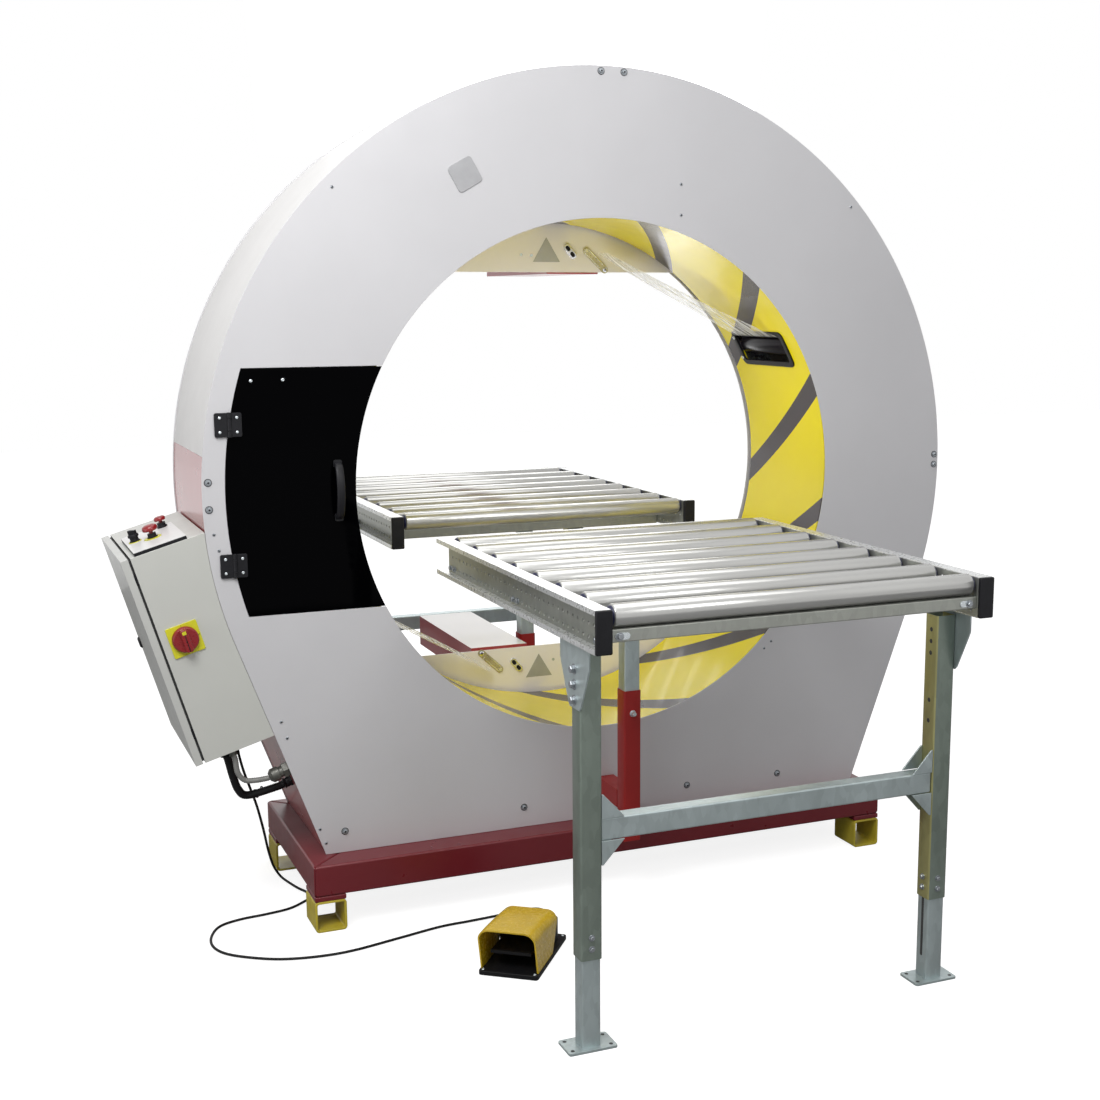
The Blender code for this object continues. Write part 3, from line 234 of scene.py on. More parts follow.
def make_galvanised():
    """Zinc with crystal patches that differ in brightness and roughness."""
    # The last look is a lighter, yellower copy of the leg colour: painted warm light for one side of the right
    # legs.
    looks = (("galvanised", (0.32, 0.33, 0.30)), ("galvanised_leg", (0.205, 0.245, 0.212)),
             ("galvanised_bright", (0.40, 0.46, 0.465)), ("galvanised_painted_warm_light", (0.36, 0.34, 0.15)))
    for name, colour in looks:
        nodes, shader = base_material(name)
        place = nodes.coords((1.0, 1.0, 0.45))
        cells = nodes.add("TexVoronoi", {"Scale": 75.0, "Vector": place})
        grey = nodes.add("SeparateColor", {"Color": cells.outputs["Color"]}).outputs[0]
        cloud = nodes.spread(nodes.noise(place, 9.0, 5.0), 0.0, 1.0)
        patch = nodes.math("MULTIPLY", nodes.math("ADD", cloud, grey), 0.5)
        nodes.feed(shader, {
            "Base Color": nodes.mix(patch, tint(colour, 0.86), tint(colour, 1.14)),
            "Roughness": nodes.spread(patch, 0.34, 0.44, 0.0, 1.0),
            "Metallic": 0.65,
            "Normal": nodes.bump(nodes.noise(place, 160.0, 3.0), 0.05, 0.0003)})


def make_lining():
    """Gloss yellow lining of the ring with slanting grey bands."""
    band_every, band_share, band_start, slant_deg = 30, 0.19, 0.095 - 20.8 / 30, 54.0
    nodes, shader = base_material("lining", coat=0.12)
    place = nodes.coords()
    parts = nodes.add("SeparateXYZ", {0: place}).outputs
    height = nodes.math("SUBTRACT", parts[2], AXIS_Z)
    turn = nodes.math("MULTIPLY", nodes.math("ARCTAN2", height, parts[0]), 180 / math.pi / band_every)
    slant = nodes.math("MULTIPLY", parts[1], slant_deg / band_every)
    phase = nodes.math("FRACT", nodes.math("ADD", nodes.math("ADD", turn, slant), 12.0 + band_start))
    cloud = nodes.spread(nodes.noise(place, 4.0, 4.0), 0.0, 1.0)
    yellow = nodes.mix(cloud, (0.88, 0.73, 0.006, 1.0), (0.92, 0.78, 0.009, 1.0))
    band = nodes.math("LESS_THAN", phase, band_share)
    nodes.feed(shader, {
        "Base Color": nodes.mix(band, yellow, (0.075, 0.066, 0.075, 1.0)),
        "Roughness": nodes.spread(nodes.noise(place, 25.0, 4.0), 0.20, 0.26),
        "Normal": nodes.bump(nodes.noise(place, 22.0, 2.0), 0.05, 0.0006)})


def make_film_material():
    """Clear stretch film with milky streaks along its pull."""
    nodes, shader = base_material("film")
    streaks = nodes.noise(nodes.coords((6.0, 90.0, 6.0)), 1.0, 4.0)
    nodes.feed(shader, {
        "Alpha": nodes.spread(streaks, 0.14, 0.95, 0.40, 0.66),
        "Base Color": nodes.mix(streaks, (0.90, 0.90, 0.87, 1.0), (0.98, 0.98, 0.97, 1.0)),
        "Roughness": nodes.spread(streaks, 0.12, 0.3)})


# ------------------------------------------------------------------ mesh helpers
def add_object(name, data, spot=(0.0, 0.0, 0.0)):
    """Put a new object into the scene."""
    obj = bpy.data.objects.new(name, data)
    bpy.context.collection.objects.link(obj)
    obj.location = spot
    return obj


def turned(spot, angle):
    """A place at a spot, turned about Y."""
    return Matrix.Translation(spot) @ Matrix.Rotation(angle, 4, "Y")


def bridge(bm, rows, closed=True, caps=True):
    """Faces from each row of points to the next, round each row if closed, and across both ends if capped."""
    for a, b in zip(rows, rows[1:]):
        for i in range(len(a) if closed else len(a) - 1):
            j = (i + 1) % len(a)
            bm.faces.new((a[i], a[j], b[j], b[i]))
    if caps:
        bm.faces.new(rows[0])
        bm.faces.new(rows[-1][::-1])
    return bm


def slab(bm, corners, z0, z1, matrix=Matrix()):
    """Extrude a closed outline of (x, y) points along Z."""
    return bridge(bm, [[bm.verts.new(matrix @ Vector((x, y, z))) for x, y in corners] for z in (z0, z1)])


def merge(bm, other):
    """Add another bmesh's faces to a bmesh."""
    mesh = bpy.data.meshes.new("merge")
    other.to_mesh(mesh)
    other.free()
    bm.from_mesh(mesh)
    bpy.data.meshes.remove(mesh)


def box(bm, x0, x1, y0, y1, z0, z1, matrix=Matrix()):
    size = Matrix.Diagonal((abs(x1 - x0), abs(y1 - y0), abs(z1 - z0), 1.0))
    place = Matrix.Translation(((x0 + x1) / 2, (y0 + y1) / 2, (z0 + z1) / 2)) @ size
    bmesh.ops.create_cube(bm, size=1.0, matrix=matrix @ place)
    return bm


def prism(bm, outline, y0, y1, matrix=Matrix()):
    """Extrude a closed outline of (x, z) points along Y."""
    return bridge(bm, [[bm.verts.new(matrix @ Vector((x, y, z))) for x, z in outline] for y in (y0, y1)])


def lathe(bm, profile, centre, axis, steps, closed=False):
    """Turn a profile of (radius, distance along the axis), either a closed loop or capped at both ends."""
    if not closed:
        profile = [(0, profile[0][1]), *profile, (0, profile[-1][1])]
    axis = Vector(axis).normalized()
    side = Vector((1.0, 0.0, 0.0)) if abs(axis.y) > 0.9 else axis.orthogonal().normalized()
    angles = [2 * math.pi * i / steps for i in range(steps)]
    spokes = [math.cos(a) * side + math.sin(a) * axis.cross(side) for a in angles]
    rings = []
    for radius, along in profile:
        middle = Vector(centre) + axis * along
        rings.append([bm.verts.new(middle + radius * spoke) for spoke in (spokes if radius else spokes[:1])])
    if closed:
        rings.append(rings[0])
    for a, b in zip(rings, rings[1:]):
        for i in range(steps):
            j = (i + 1) % steps
            corners = [a[i % len(a)], a[j % len(a)], b[j % len(b)], b[i % len(b)]]
            bm.faces.new(list(dict.fromkeys(corners)))
    return bm


def rod(bm, centre, axis, radius, start, end, steps=24):
    """A cylinder from start to end along an axis."""
    return lathe(bm, [(radius, start), (radius, end)], centre, axis, steps)


def tube(bm, x, y, width, z0, z1, radius=0.004):
    """An upright square tube with rounded edges, open at both ends."""
    wall = 0.0025
    rows = []
    for inset, z in ((0.0, z0), (0.0, z1), (wall, z1), (wall, z0)):
        half = width / 2 - inset
        outline = rounded(x - half, x + half, y - half, y + half, radius - inset, 3)
        rows.append([bm.verts.new((px, py, z)) for px, py in outline])
    return bridge(bm, rows + rows[:1], caps=False)


def carve(bm, *tools):
    """Cut bmesh tools out of a bmesh with exact Booleans."""
    made = []
    for shape in (bm,) + tools:
        shape.normal_update()
        bmesh.ops.recalc_face_normals(shape, faces=shape.faces)
        mesh = bpy.data.meshes.new("carve")
        shape.to_mesh(mesh)
        shape.free()
        made.append(add_object("carve", mesh))
    for tool in made[1:]:
        cut = made[0].modifiers.new("cut", "BOOLEAN")
        cut.operation = "DIFFERENCE"
        cut.solver = "EXACT"
        cut.object = tool
    result = bmesh.new()
    result.from_object(made[0], bpy.context.evaluated_depsgraph_get())
    for obj in made:
        bpy.data.objects.remove(obj, do_unlink=True)
    return result


def piece(name, bm, material, body="machine", bevel=0.0, segments=2, angle=35, replaces=()):
    bmesh.ops.remove_doubles(bm, verts=bm.verts, dist=0.000001)
    bm.normal_update()
    bmesh.ops.recalc_face_normals(bm, faces=bm.faces)
    mesh = bpy.data.meshes.new(name)
    bm.to_mesh(mesh)
    bm.free()
    mesh.materials.append(MATS[material])
    mesh.shade_smooth()
    mesh.set_sharp_from_angle(angle=math.radians(angle))
    obj = add_object(name, mesh, ORIGIN)
    if bevel:
        edge = obj.modifiers.new("bevel", "BEVEL")
        edge.width = bevel
        edge.segments = segments
        edge.limit_method = "ANGLE"
        edge.angle_limit = math.radians(32)
        edge.harden_normals = True
    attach(obj, body)
    if replaces:
        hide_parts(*replaces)
    return obj


def second_look(obj, material, chosen):
    """Give a piece a second material on the faces that a test picks."""
    obj.data.materials.append(MATS[material])
    for face in obj.data.polygons:
        face.material_index = 1 if chosen(face) else 0


def smooth_route(route, count):
    """Points at equal distances along a Catmull-Rom curve through the route."""
    knots = [Vector(p) for p in route]
    knots = [2 * knots[0] - knots[1]] + knots + [2 * knots[-1] - knots[-2]]
    dense = []
    for i in range(1, len(knots) - 2):
        a, b, c, d = knots[i - 1:i + 3]
        for k in range(20):
            t = k / 20
            bend = (2 * b) + (c - a) * t + (2 * a - 5 * b + 4 * c - d) * t * t
            dense.append((bend + (3 * b - a - 3 * c + d) * t ** 3) / 2)
    dense.append(knots[-2])
    lengths = [0.0]
    for p, q in zip(dense, dense[1:]):
        lengths.append(lengths[-1] + (q - p).length)
    points = []
    k = 0
    for i in range(count):
        want = lengths[-1] * i / (count - 1)
        while k < len(dense) - 2 and lengths[k + 1] < want:
            k += 1
        share = (want - lengths[k]) / (lengths[k + 1] - lengths[k])
        points.append(dense[k].lerp(dense[k + 1], min(share, 1.0)))
    return points, lengths[-1]


def cable(name, route, count, radius, material, replaces=(), ribs=0.0):
    """A round cable or conduit along a smooth route, as one open curve."""
    points, length = smooth_route(route, count)
    curve = bpy.data.curves.new(name, "CURVE")
    curve.dimensions = "3D"
    curve.bevel_depth = radius
    curve.bevel_resolution = 6
    curve.use_fill_caps = True
    line = curve.splines.new("POLY")
    line.points.add(len(points) - 1)
    for i, (target, point) in enumerate(zip(line.points, points)):
        target.co = (*point, 1.0)
        if ribs:
            target.radius = 1.0 if i % 2 else 1.0 - ribs
    line.use_smooth = True
    curve.materials.append(MATS[material])
    obj = add_object(name, curve, ORIGIN)
    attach(obj, "machine")
    if replaces:
        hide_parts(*replaces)
    return obj, length


def ring_point(degrees, radius):
    a = math.radians(degrees)
    return Vector((radius * math.cos(a), 0.0, AXIS_Z + radius * math.sin(a)))


def arc(radius, start, end, steps):
    points = [ring_point(start + (end - start) * i / steps, radius) for i in range(steps + 1)]
    return [(p.x, p.z) for p in points]


def edge_foot(radius, z):
    """Where the housing's straight side, tangent to a radius, stands at a height."""
    a = math.radians(TANGENT_DEG)
    return radius * math.cos(a) + (AXIS_Z + radius * math.sin(a) - z) / math.cos(a) * math.sin(a)


def housing_outline(radius, bottom, steps=176):
    foot = edge_foot(radius, bottom)
    return [(foot, bottom)] + arc(radius, TANGENT_DEG, 180 - TANGENT_DEG, steps) + [(-foot, bottom)]


def rounded(x0, x1, z0, z1, radius, steps=6):
    """Outline of a rectangle with rounded corners."""
    points = []
    for cx, cz, a0 in ((x1 - radius, z1 - radius, 0), (x0 + radius, z1 - radius, 90),
                       (x0 + radius, z0 + radius, 180), (x1 - radius, z0 + radius, 270)):
        for k in range(steps + 1):
            a = math.radians(a0 + 90 * k / steps)
            points.append((cx + radius * math.cos(a), cz + radius * math.sin(a)))
    return points


def hexbolt(bm, at, axis, size, washer, height):
    """A hexagon head on a washer."""
    rim = 0.0016
    rod(bm, at, axis, washer, 0.0, rim)
    lathe(bm, [(size, rim), (size, rim + height * 0.8), (size * 0.86, rim + height)], at, axis, 6)


def button_screw(bm, at, axis, radius, height):
    """A domed head with a hexagon socket."""
    lathe(bm, [(radius, 0), (radius, height * 0.35), (radius * 0.86, height * 0.75), (radius * 0.5, height),
               (radius * 0.45, height * 0.3)], at, axis, 18)


def at_cabinet(along, down, y):
    """A point measured along and down from the cabinet's upper outer corner."""
    return CORNER + ALONG * along + DOWN * down + Vector((0.0, y, 0.0))


CABINET = turned(CORNER, -TILT)


def cabinet_box(bm, along, down, y):
    """A box in the cabinet's tilted directions."""
    return box(bm, along[0], along[1], y[0], y[1], -down[1], -down[0], CABINET)


# ------------------------------------------------------------------ camera
def make_camera():
    """The camera of the solved view: eye height 1.64 m, a small roll and a shifted lens."""
    spot = ORIGIN + Vector((-1.70780, -3.93199, 1.63629))
    front = Vector((0.38311, 0.90738, -0.17286)).normalized()
    right = front.cross(Vector((0, 0, 1))).normalized()
    up = right.cross(front)
    roll = -0.0033
    side = right * math.cos(roll) + up * math.sin(roll)
    over = side.cross(front)
    data = bpy.data.cameras.new("camera")
    data.sensor_width = 36
    data.lens = 51.257
    data.shift_x = -0.0362
    data.shift_y = 0.0211
    data.clip_start = 0.05
    data.clip_end = 200
    camera = add_object("camera", data)
    turn = Matrix((side, over, -front)).transposed().to_4x4()
    camera.matrix_world = Matrix.Translation(spot) @ turn
    bpy.context.scene.camera = camera


# ------------------------------------------------------------------ pedal cable and conduit
CABLE_R = 0.0035
LEAD = 0.018
CABLE_ROUTE = [
    (-0.998, 0.124, 0.405), (-0.980, 0.138, 0.350),
    (-0.958, 0.165, 0.285), (-0.936, 0.205, 0.205), (-0.915, 0.258, 0.125), (-0.892, 0.318, 0.058),
    (-0.872, 0.355, 0.018), (-0.862, 0.345, 0.0050), (-0.852, 0.300, 0.0046), (-0.838, 0.248, 0.0046),
    (-0.822, 0.205, 0.0046), (-0.822, 0.166, 0.0046), (-0.850, 0.136, 0.0046), (-0.895, 0.106, 0.0046),
    (-0.960, 0.092, 0.0046), (-1.031, 0.083, 0.0046), (-1.088, 0.057, 0.0046), (-1.120, -0.003, 0.0046),
    (-1.127, -0.066, 0.0046), (-1.106, -0.124, 0.0046), (-1.053, -0.174, 0.0046), (-0.980, -0.216, 0.0046),
    (-0.890, -0.236, 0.0046), (-0.800, -0.234, 0.0046), (-0.671, -0.204, 0.0046), (-0.554, -0.176, 0.0046),
    (-0.470, -0.171, 0.0048), (-0.395, -0.168, 0.0060), (-0.335, -0.170, 0.0095), (-0.296, -0.186, 0.017),
    (-0.282, -0.222, 0.025), (-0.296, -0.268, 0.031),
]
PEDAL = Matrix.Translation((-0.414, -0.430, 0.0)) @ Matrix.Rotation(math.radians(-37.4), 4, "Z")
PEDAL_BACK = 0.105
PEDAL_GLAND_Z = 0.032
GLAND_LEN = 0.024
CABLE_START = at_cabinet(0.095, CAB_LEN + GLAND_LEN + GAP, 0.120)
CABLE_WAY = PEDAL.to_3x3() @ Vector((0.0, 1.0, 0.0))
CABLE_END = PEDAL @ Vector((0.0, PEDAL_BACK + GLAND_LEN + GAP, PEDAL_GLAND_Z))
CONDUIT_R = 0.011
CONDUIT_START = at_cabinet(0.060, CAB_LEN + GLAND_LEN + GAP, 0.070)
ENTRY_LEN = 0.022
ENTRY = Vector((-edge_foot(COVER_R, 0.3684), 0.100, 0.3684))


def gland(bm, base, axis, nut, cord, length):
    """A cable gland: hexagon base nut and domed cap."""
    nut_len = length * 0.3
    rod(bm, base, axis, nut, 0, nut_len, 6)
    return lathe(bm, [(nut * 0.86, nut_len), (nut * 0.86, length * 0.62), (nut * 0.8, length * 0.75),
                      (cord * 1.5, length * 0.97), (cord * 1.25, length)], base, axis, 24)


def make_cords():
    """The pedal's cable with a strain relief at each end, and the black conduit."""
    route = [CABLE_START, CABLE_START + DOWN * LEAD] + CABLE_ROUTE + [CABLE_END + CABLE_WAY * LEAD, CABLE_END]
    lead, length = cable("pedal_cable_lead", route, 400, CABLE_R, "rubber", ("pedal_cable",))
    sleeve = [(0.0048, 0.0), (0.0064, 0.0), (0.0064, 0.004)]
    for k in range(1, 8):
        radius = 0.0062 - 0.0021 * k / 8
        along = 0.004 + 0.019 * k / 8
        sleeve += [(radius, along - 0.0008), (radius - 0.0006, along), (radius - 0.0006, along + 0.0006)]
    sleeve += [(0.0040, 0.024), (0.0037, 0.024)]
    for name, place, way in (("cabinet", CABLE_START, DOWN), ("pedal", CABLE_END, CABLE_WAY)):
        bm = lathe(bmesh.new(), sleeve, place, way, 24, closed=True)
        piece(f"cable_relief_{name}", bm, "black_soft")
    end = ENTRY + EDGE_OUT * (ENTRY_LEN + GAP)
    conduit = [CONDUIT_START, CONDUIT_START + DOWN * LEAD, (-1.034, 0.072, 0.405), (-1.020, 0.078, 0.365),
               (-0.994, 0.087, 0.345), end + EDGE_OUT * LEAD, end]
    cable("conduit_hose", conduit, 110, CONDUIT_R, "black_soft", ("cabinet_conduit",), ribs=0.12)


GREY_Y = 0.026
GREY_ENTRY = Vector((-edge_foot(COVER_R, 0.425), GREY_Y, 0.425))
GREY_NUT_LEN = 0.056


def make_grey_conduit():
    """A thin grey conduit in front of the black one, from the cabinet's bottom to a nut on the side cover."""
    start = at_cabinet(0.074, CAB_LEN + 0.016 + GAP, GREY_Y)
    end = GREY_ENTRY + EDGE_OUT * (GREY_NUT_LEN + GAP)
    route = [start, start + DOWN * 0.012, (-1.029, GREY_Y, 0.428), (-1.012, GREY_Y, 0.406),
             (-0.985, GREY_Y, 0.402), end + EDGE_OUT * 0.006, end]
    cable("grey_conduit", route, 60, 0.0075, "grey_gland", ribs=0.1)
    bm = gland(bmesh.new(), at_cabinet(0.074, CAB_LEN, GREY_Y), DOWN, 0.0115, 0.0075, 0.016)
    rod(bm, GREY_ENTRY, EDGE_OUT, 0.0205, 0, 0.018, 6)
    lathe(bm, [(0.0150, 0.018), (0.0150, 0.028), (0.0190, 0.029), (0.0190, 0.048), (0.011, GREY_NUT_LEN)],
          GREY_ENTRY, EDGE_OUT, 20)
    piece("grey_conduit_fittings", bm, "grey_nut", bevel=0.0006)
    ties = bmesh.new()
    for share, spot in ((0.0, Vector((-0.972, 0.0935, 0.3445))), (1.0, Vector((-0.9525, 0.0985, 0.3495)))):
        lathe(ties, [(0.0114, -0.0018), (0.0124, -0.0018), (0.0124, 0.0018), (0.0114, 0.0018)], spot,
              (0.96, 0.2, 0.2 + 0.1 * share), 24, closed=True)
    piece("conduit_ties", ties, "black", bevel=0.0002)


# ------------------------------------------------------------------ panels and covers
DOOR_R = 1.033
DOOR_HALF = 0.3125
DOOR_MID = 1.1545
DOOR_T = 0.004
DOOR_Y = 0.0005
DOOR_CLEAR = 0.0015
POST_CLEAR = 0.0253
SUPPORTS = (45, 135, 225)
SUPPORT_AT = 0.9403
COVER_T = 0.002
RIM_END_DEG = 5.4


def door_outline(inner_r, outer_r, low_z, high_z):
    """A slice of the front panel's left side between two radii and two heights."""
    def angle_at(radius, z):
        return 180 - math.degrees(math.asin((z - AXIS_Z) / radius))
    outer = arc(outer_r, angle_at(outer_r, high_z), angle_at(outer_r, low_z), 40)
    inner = arc(inner_r, angle_at(inner_r, low_z), angle_at(inner_r, high_z), 60)
    return outer + inner


def panel_blank(y0, y1, hole):
    """A whole panel with the tools that cut its round opening and the slot for the table's post arm."""
    plate = prism(bmesh.new(), housing_outline(HOUSING_R, BASE_TOP + GAP), y0, y1)
    over = 0.01
    opening = rod(bmesh.new(), (0, 0, AXIS_Z), (0, 1, 0), hole, y0 - over, y1 + over, 240)
    slot = box(bmesh.new(), -POST_CLEAR, POST_CLEAR, y0 - over, y1 + over, POST_ARM[0] - GAP, POST_ARM[1] + GAP)
    return plate, opening, slot


def make_panels():
    """Front and back panels, the rim and side covers between them and the support rollers' shafts."""
    plate, opening, slot = panel_blank(0.0, SHEET, HOLE_R)
    room = DOOR_HALF + DOOR_CLEAR
    doorway = door_outline(HOLE_R - 0.02, DOOR_R + DOOR_CLEAR, DOOR_MID - room, DOOR_MID + room)
    notch = prism(bmesh.new(), doorway, -0.01, 0.02)
    piece("panel_front", carve(plate, opening, slot, notch), "panel", bevel=0.0008, replaces=("front_panel",))
    piece("panel_back", carve(*panel_blank(DEPTH - SHEET, DEPTH, BACK_HOLE_R)), "panel", bevel=0.0008,
          replaces=("back_panel",))
    bm = bmesh.new()
    for degrees in SUPPORTS:
        rod(bm, ring_point(degrees, SUPPORT_AT), (0, 1, 0), 0.009, SHEET, 0.100)
    piece("support_shafts", bm, "zinc", bevel=0.0005)

    y0, y1 = SHEET + GAP, DEPTH - SHEET - GAP
    split = RIM_END_DEG + math.degrees(GAP / COVER_R)
    outline = arc(COVER_R, split, 180 - split, 150) + arc(COVER_R - COVER_T, 180 - split, split, 150)
    piece("rim_band", prism(bmesh.new(), outline, y0, y1), "cover", replaces=("rim_cover",))
    floor = BASE_TOP + GAP
    inner = COVER_R - COVER_T
    down = arc(COVER_R, RIM_END_DEG, TANGENT_DEG, 30) + [(edge_foot(COVER_R, floor), floor)]
    up = [(edge_foot(inner, floor), floor)] + arc(inner, TANGENT_DEG, RIM_END_DEG, 30)
    for side, name in ((1, "right"), (-1, "left")):
        bm = prism(bmesh.new(), [(side * x, z) for x, z in down + up], y0, y1)
        piece(f"side_sheet_{name}", bm, "red_side", bevel=0.0006, replaces=(f"side_cover_{name}",))
    piece("conduit_gland_housing", gland(bmesh.new(), ENTRY, EDGE_OUT, 0.0158, 0.0105, ENTRY_LEN), "black",
          bevel=0.0006)


def fasten(name, face, way, bolts, screws):
    """Hexagon bolts and domed screws on a panel's outer face, with painted shade: a black ring round each
    bolt's washer, a black disc for a socket on each bolt head and a black disc in each screw's socket.
    """
    outward = (0, way, 0)
    bm = bmesh.new()
    for x, z in bolts:
        hexbolt(bm, (x, face, z), outward, 0.0058, 0.0082, 0.0045)
    piece(f"{name}_bolts", bm, "bolt", bevel=0.0004)
    # Black rings round the washers and black discs on the heads and in the sockets: painted shadow and shade.
    bm = bmesh.new()
    for x, z in bolts:
        lathe(bm, [(0.0084, 0.0), (0.0100, 0.0), (0.0098, 0.0006), (0.0084, 0.0006)], (x, face, z), outward, 24,
              closed=True)
        rod(bm, (x, face + way * 0.0058, z), outward, 0.0026, 0.0, 0.0006, 12)
    for x, z in screws:
        rod(bm, (x, face + way * 0.0010, z), outward, 0.0018, 0.0, 0.0006, 12)
    piece(f"{name}_fastener_painted_shade", bm, "black", bevel=0.0001)
    bm = bmesh.new()
    for x, z in screws:
        button_screw(bm, (x, face, z), outward, 0.0042, 0.0022)
    piece(f"{name}_screws", bm, "bolt", bevel=0.0002)


def make_panel_bolts():
    """Fasteners on the panels, from the pattern of the frame behind them, and the bare badge plate."""
    low_bolts = ((-0.758, 0.240), (-0.249, 0.239), (0.257, 0.239), (0.557, 0.238))
    high_bolts = ((-0.011, 2.225), (0.055, 2.225), (1.078, 1.171), (1.078, 1.141))
    hinge_bolts = ((-1.076, 1.188), (-1.076, 1.120))
    screws = ((0.225, 1.941), (0.226, 1.859), (0.765, 1.891), (-0.740, 1.911), (-1.067, 1.057),
              (-1.056, 1.016), (-0.917, 0.558), (-0.903, 0.513), (-0.825, 0.255), (-0.810, 0.214),
              (0.529, 0.644), (0.506, 0.625))
    bolts = low_bolts + high_bolts + hinge_bolts
    fasten("panel", 0.0, -1, bolts, screws)
    fasten("back", DEPTH, 1, bolts, [(x, z) for x, z in screws if abs(x) > 0.5])
    turn = turned((-0.392, 0.0, 1.951), math.radians(-30))
    badge = prism(bmesh.new(), rounded(-0.036, 0.036, -0.036, 0.036, 0.010), -0.0025, 0.0, turn)
    piece("panel_badge_plate", badge, "badge", bevel=0.0008)


# ------------------------------------------------------------------ base
def mitred(bm, outer, inner, z0, z1):
    """Four rails of a rectangular frame that meet at 45 degrees with a hair line between them."""
    rings = [[(ax, ay), (bx, ay), (bx, by), (ax, by)] for (ax, ay), (bx, by) in (outer, inner)]
    for i in range(4):
        j = (i + 1) % 4
        loop = [Vector(p) for p in (rings[0][i], rings[0][j], rings[1][j], rings[1][i])]
        pull = (loop[1] - loop[0]).normalized() * 0.0004
        slab(bm, [loop[0] + pull, loop[1] - pull, loop[2] - pull, loop[3] + pull], z0, z1)


def make_base():
    """Welded base on four hollow feet, with uprights and the posts that carry the tables."""
    bm = bmesh.new()
    rail = 0.1
    mitred(bm, ((-BASE_HALF, BASE_FRONT), (BASE_HALF, BASE_REAR)),
           ((rail - BASE_HALF, BASE_FRONT + rail), (BASE_HALF - rail, BASE_REAR - rail)), BASE_LOW, BASE_TOP)
    piece("base_rails", bm, "red_dark", bevel=0.006, segments=4, replaces=("base_frame",))
    bm = bmesh.new()
    for outer, inward in ((SHEET + GAP, 0.05), (DEPTH - SHEET - GAP, -0.05)):
        for side in (-1, 1):
            box(bm, side * 0.745, side * 0.795, outer, outer + inward, BASE_TOP, 0.8)
        box(bm, -0.7445, 0.7445, outer, outer + inward, 0.215, 0.305)
    piece("base_uprights", bm, "red_dark", bevel=0.003)
    posts, clamps = bmesh.new(), bmesh.new()
    for y, wall_y, out in ((-POST_OUT, SHEET, -1), (DEPTH + POST_OUT, DEPTH - SHEET, 1)):
        tube(posts, 0.0, y, POST, 0.165, 0.590, 0.005)
        box(posts, -POST / 2, POST / 2, y - out * (POST / 2 + 0.0002), wall_y, *POST_ARM)
        hexbolt(clamps, (0.0, y + out * POST / 2, 0.527), (0, out, 0), 0.007, 0.009, 0.012)
    piece("table_posts", posts, "red", bevel=0.0015)
    pads, shoes = bmesh.new(), bmesh.new()
    for side in (-1, 1):
        for foot_y in (BASE_FRONT, BASE_REAR - FOOT_LEN):
            edge = side * BASE_HALF
            inside = side * (BASE_HALF - FOOT)
            y0, y1 = foot_y, foot_y + FOOT_LEN
            box(pads, edge - side * 0.0005, inside, y0 + 0.0005, y1 - 0.0005, FOOT, BASE_LOW)
            x0, x1 = sorted((edge, inside))
            outer = prism(bmesh.new(), rounded(x0, x1, 0.0, FOOT, 0.010), y0, y1)
            wall = 0.006
            hollow = rounded(x0 + wall, x1 - wall, wall, FOOT - wall, 0.005)
            bore = prism(bmesh.new(), hollow, y0 - 0.01, y1 + 0.01)
            merge(shoes, carve(outer, bore))
    piece("base_foot_pads", pads, "red_dark", bevel=0.003)
    piece("base_feet", shoes, "olive", bevel=0.0012)
    piece("post_clamp_screws", clamps, "zinc", bevel=0.0005)


# ------------------------------------------------------------------ ring, film and reels
SLOT_DEG = 28.7
SLOT_Y = (0.100, 0.380)


def at_ring(degrees):
    """X points outwards, Z along the turn, with the origin on the drum's inner face."""
    return turned(ring_point(degrees, DRUM_R), -math.radians(degrees))


def plate_x(bm, outline, x0, x1, matrix):
    """Extrude an outline of (y, z) points along X."""
    swap = Matrix(((0, 1, 0, 0), (1, 0, 0, 0), (0, 0, 1, 0), (0, 0, 0, 1)))
    return prism(bm, outline, x0, x1, matrix @ swap)


def make_ring():
    """The ring's lined drum and discs, with a frame and a roller in each film slot."""
    outer = DRUM_R + 0.006
    profile = [(DRUM_R, 0.020), (DRUM_R, 0.465), (outer, 0.465), (outer, 0.020)]
    drum = lathe(bmesh.new(), profile, (0, 0, AXIS_Z), (0, 1, 0), 256, closed=True)
    places = [at_ring(degrees) for degrees in (SLOT_DEG, SLOT_DEG + 180)]
    cuts = [plate_x(bmesh.new(), rounded(*SLOT_Y, -0.05, 0.05, 0.012), -0.02, 0.03, turn) for turn in places]
    piece("ring_lining", carve(drum, *cuts), "lining", "ring", bevel=0.0008, angle=25,
          replaces=("ring_drum",))
    bm = bmesh.new()
    for radius, y0, y1 in ((0.9, 0.078, 0.088), (0.8, 0.402, 0.412)):
        lathe(bm, [(outer, y0), (radius, y0), (radius, y1), (outer, y1)], (0, 0, AXIS_Z), (0, 1, 0), 180,
              closed=True)
    piece("ring_discs", bm, "zinc", "ring", bevel=0.0008)

    frames, rollers, screws = bmesh.new(), bmesh.new(), bmesh.new()
    for turn in places:
        border = plate_x(bmesh.new(), rounded(0.088, 0.392, -0.058, 0.058, 0.018), -0.0062, -0.0002, turn)
        window = plate_x(bmesh.new(), rounded(0.104, 0.376, -0.042, 0.042, 0.010), -0.02, 0.03, turn)
        merge(frames, carve(border, window))
        lathe(rollers, [(0.0360, 0.107), (0.0375, 0.110), (0.0375, 0.370), (0.0360, 0.373)],
              turn @ Vector((0.0365, 0, 0)), (0, 1, 0), 48)
        inward = turn.to_3x3() @ Vector((-1, 0, 0))
        for z in (-0.034, 0.034):
            button_screw(screws, turn @ Vector((-0.0062, 0.384, z)), inward, 0.0055, 0.003)
    piece("slot_frames", frames, "black", "ring", bevel=0.0012)
    piece("slot_rollers", rollers, "slot_roller", "ring", bevel=0.0008)
    piece("slot_screws", screws, "zinc", "ring", bevel=0.0003)


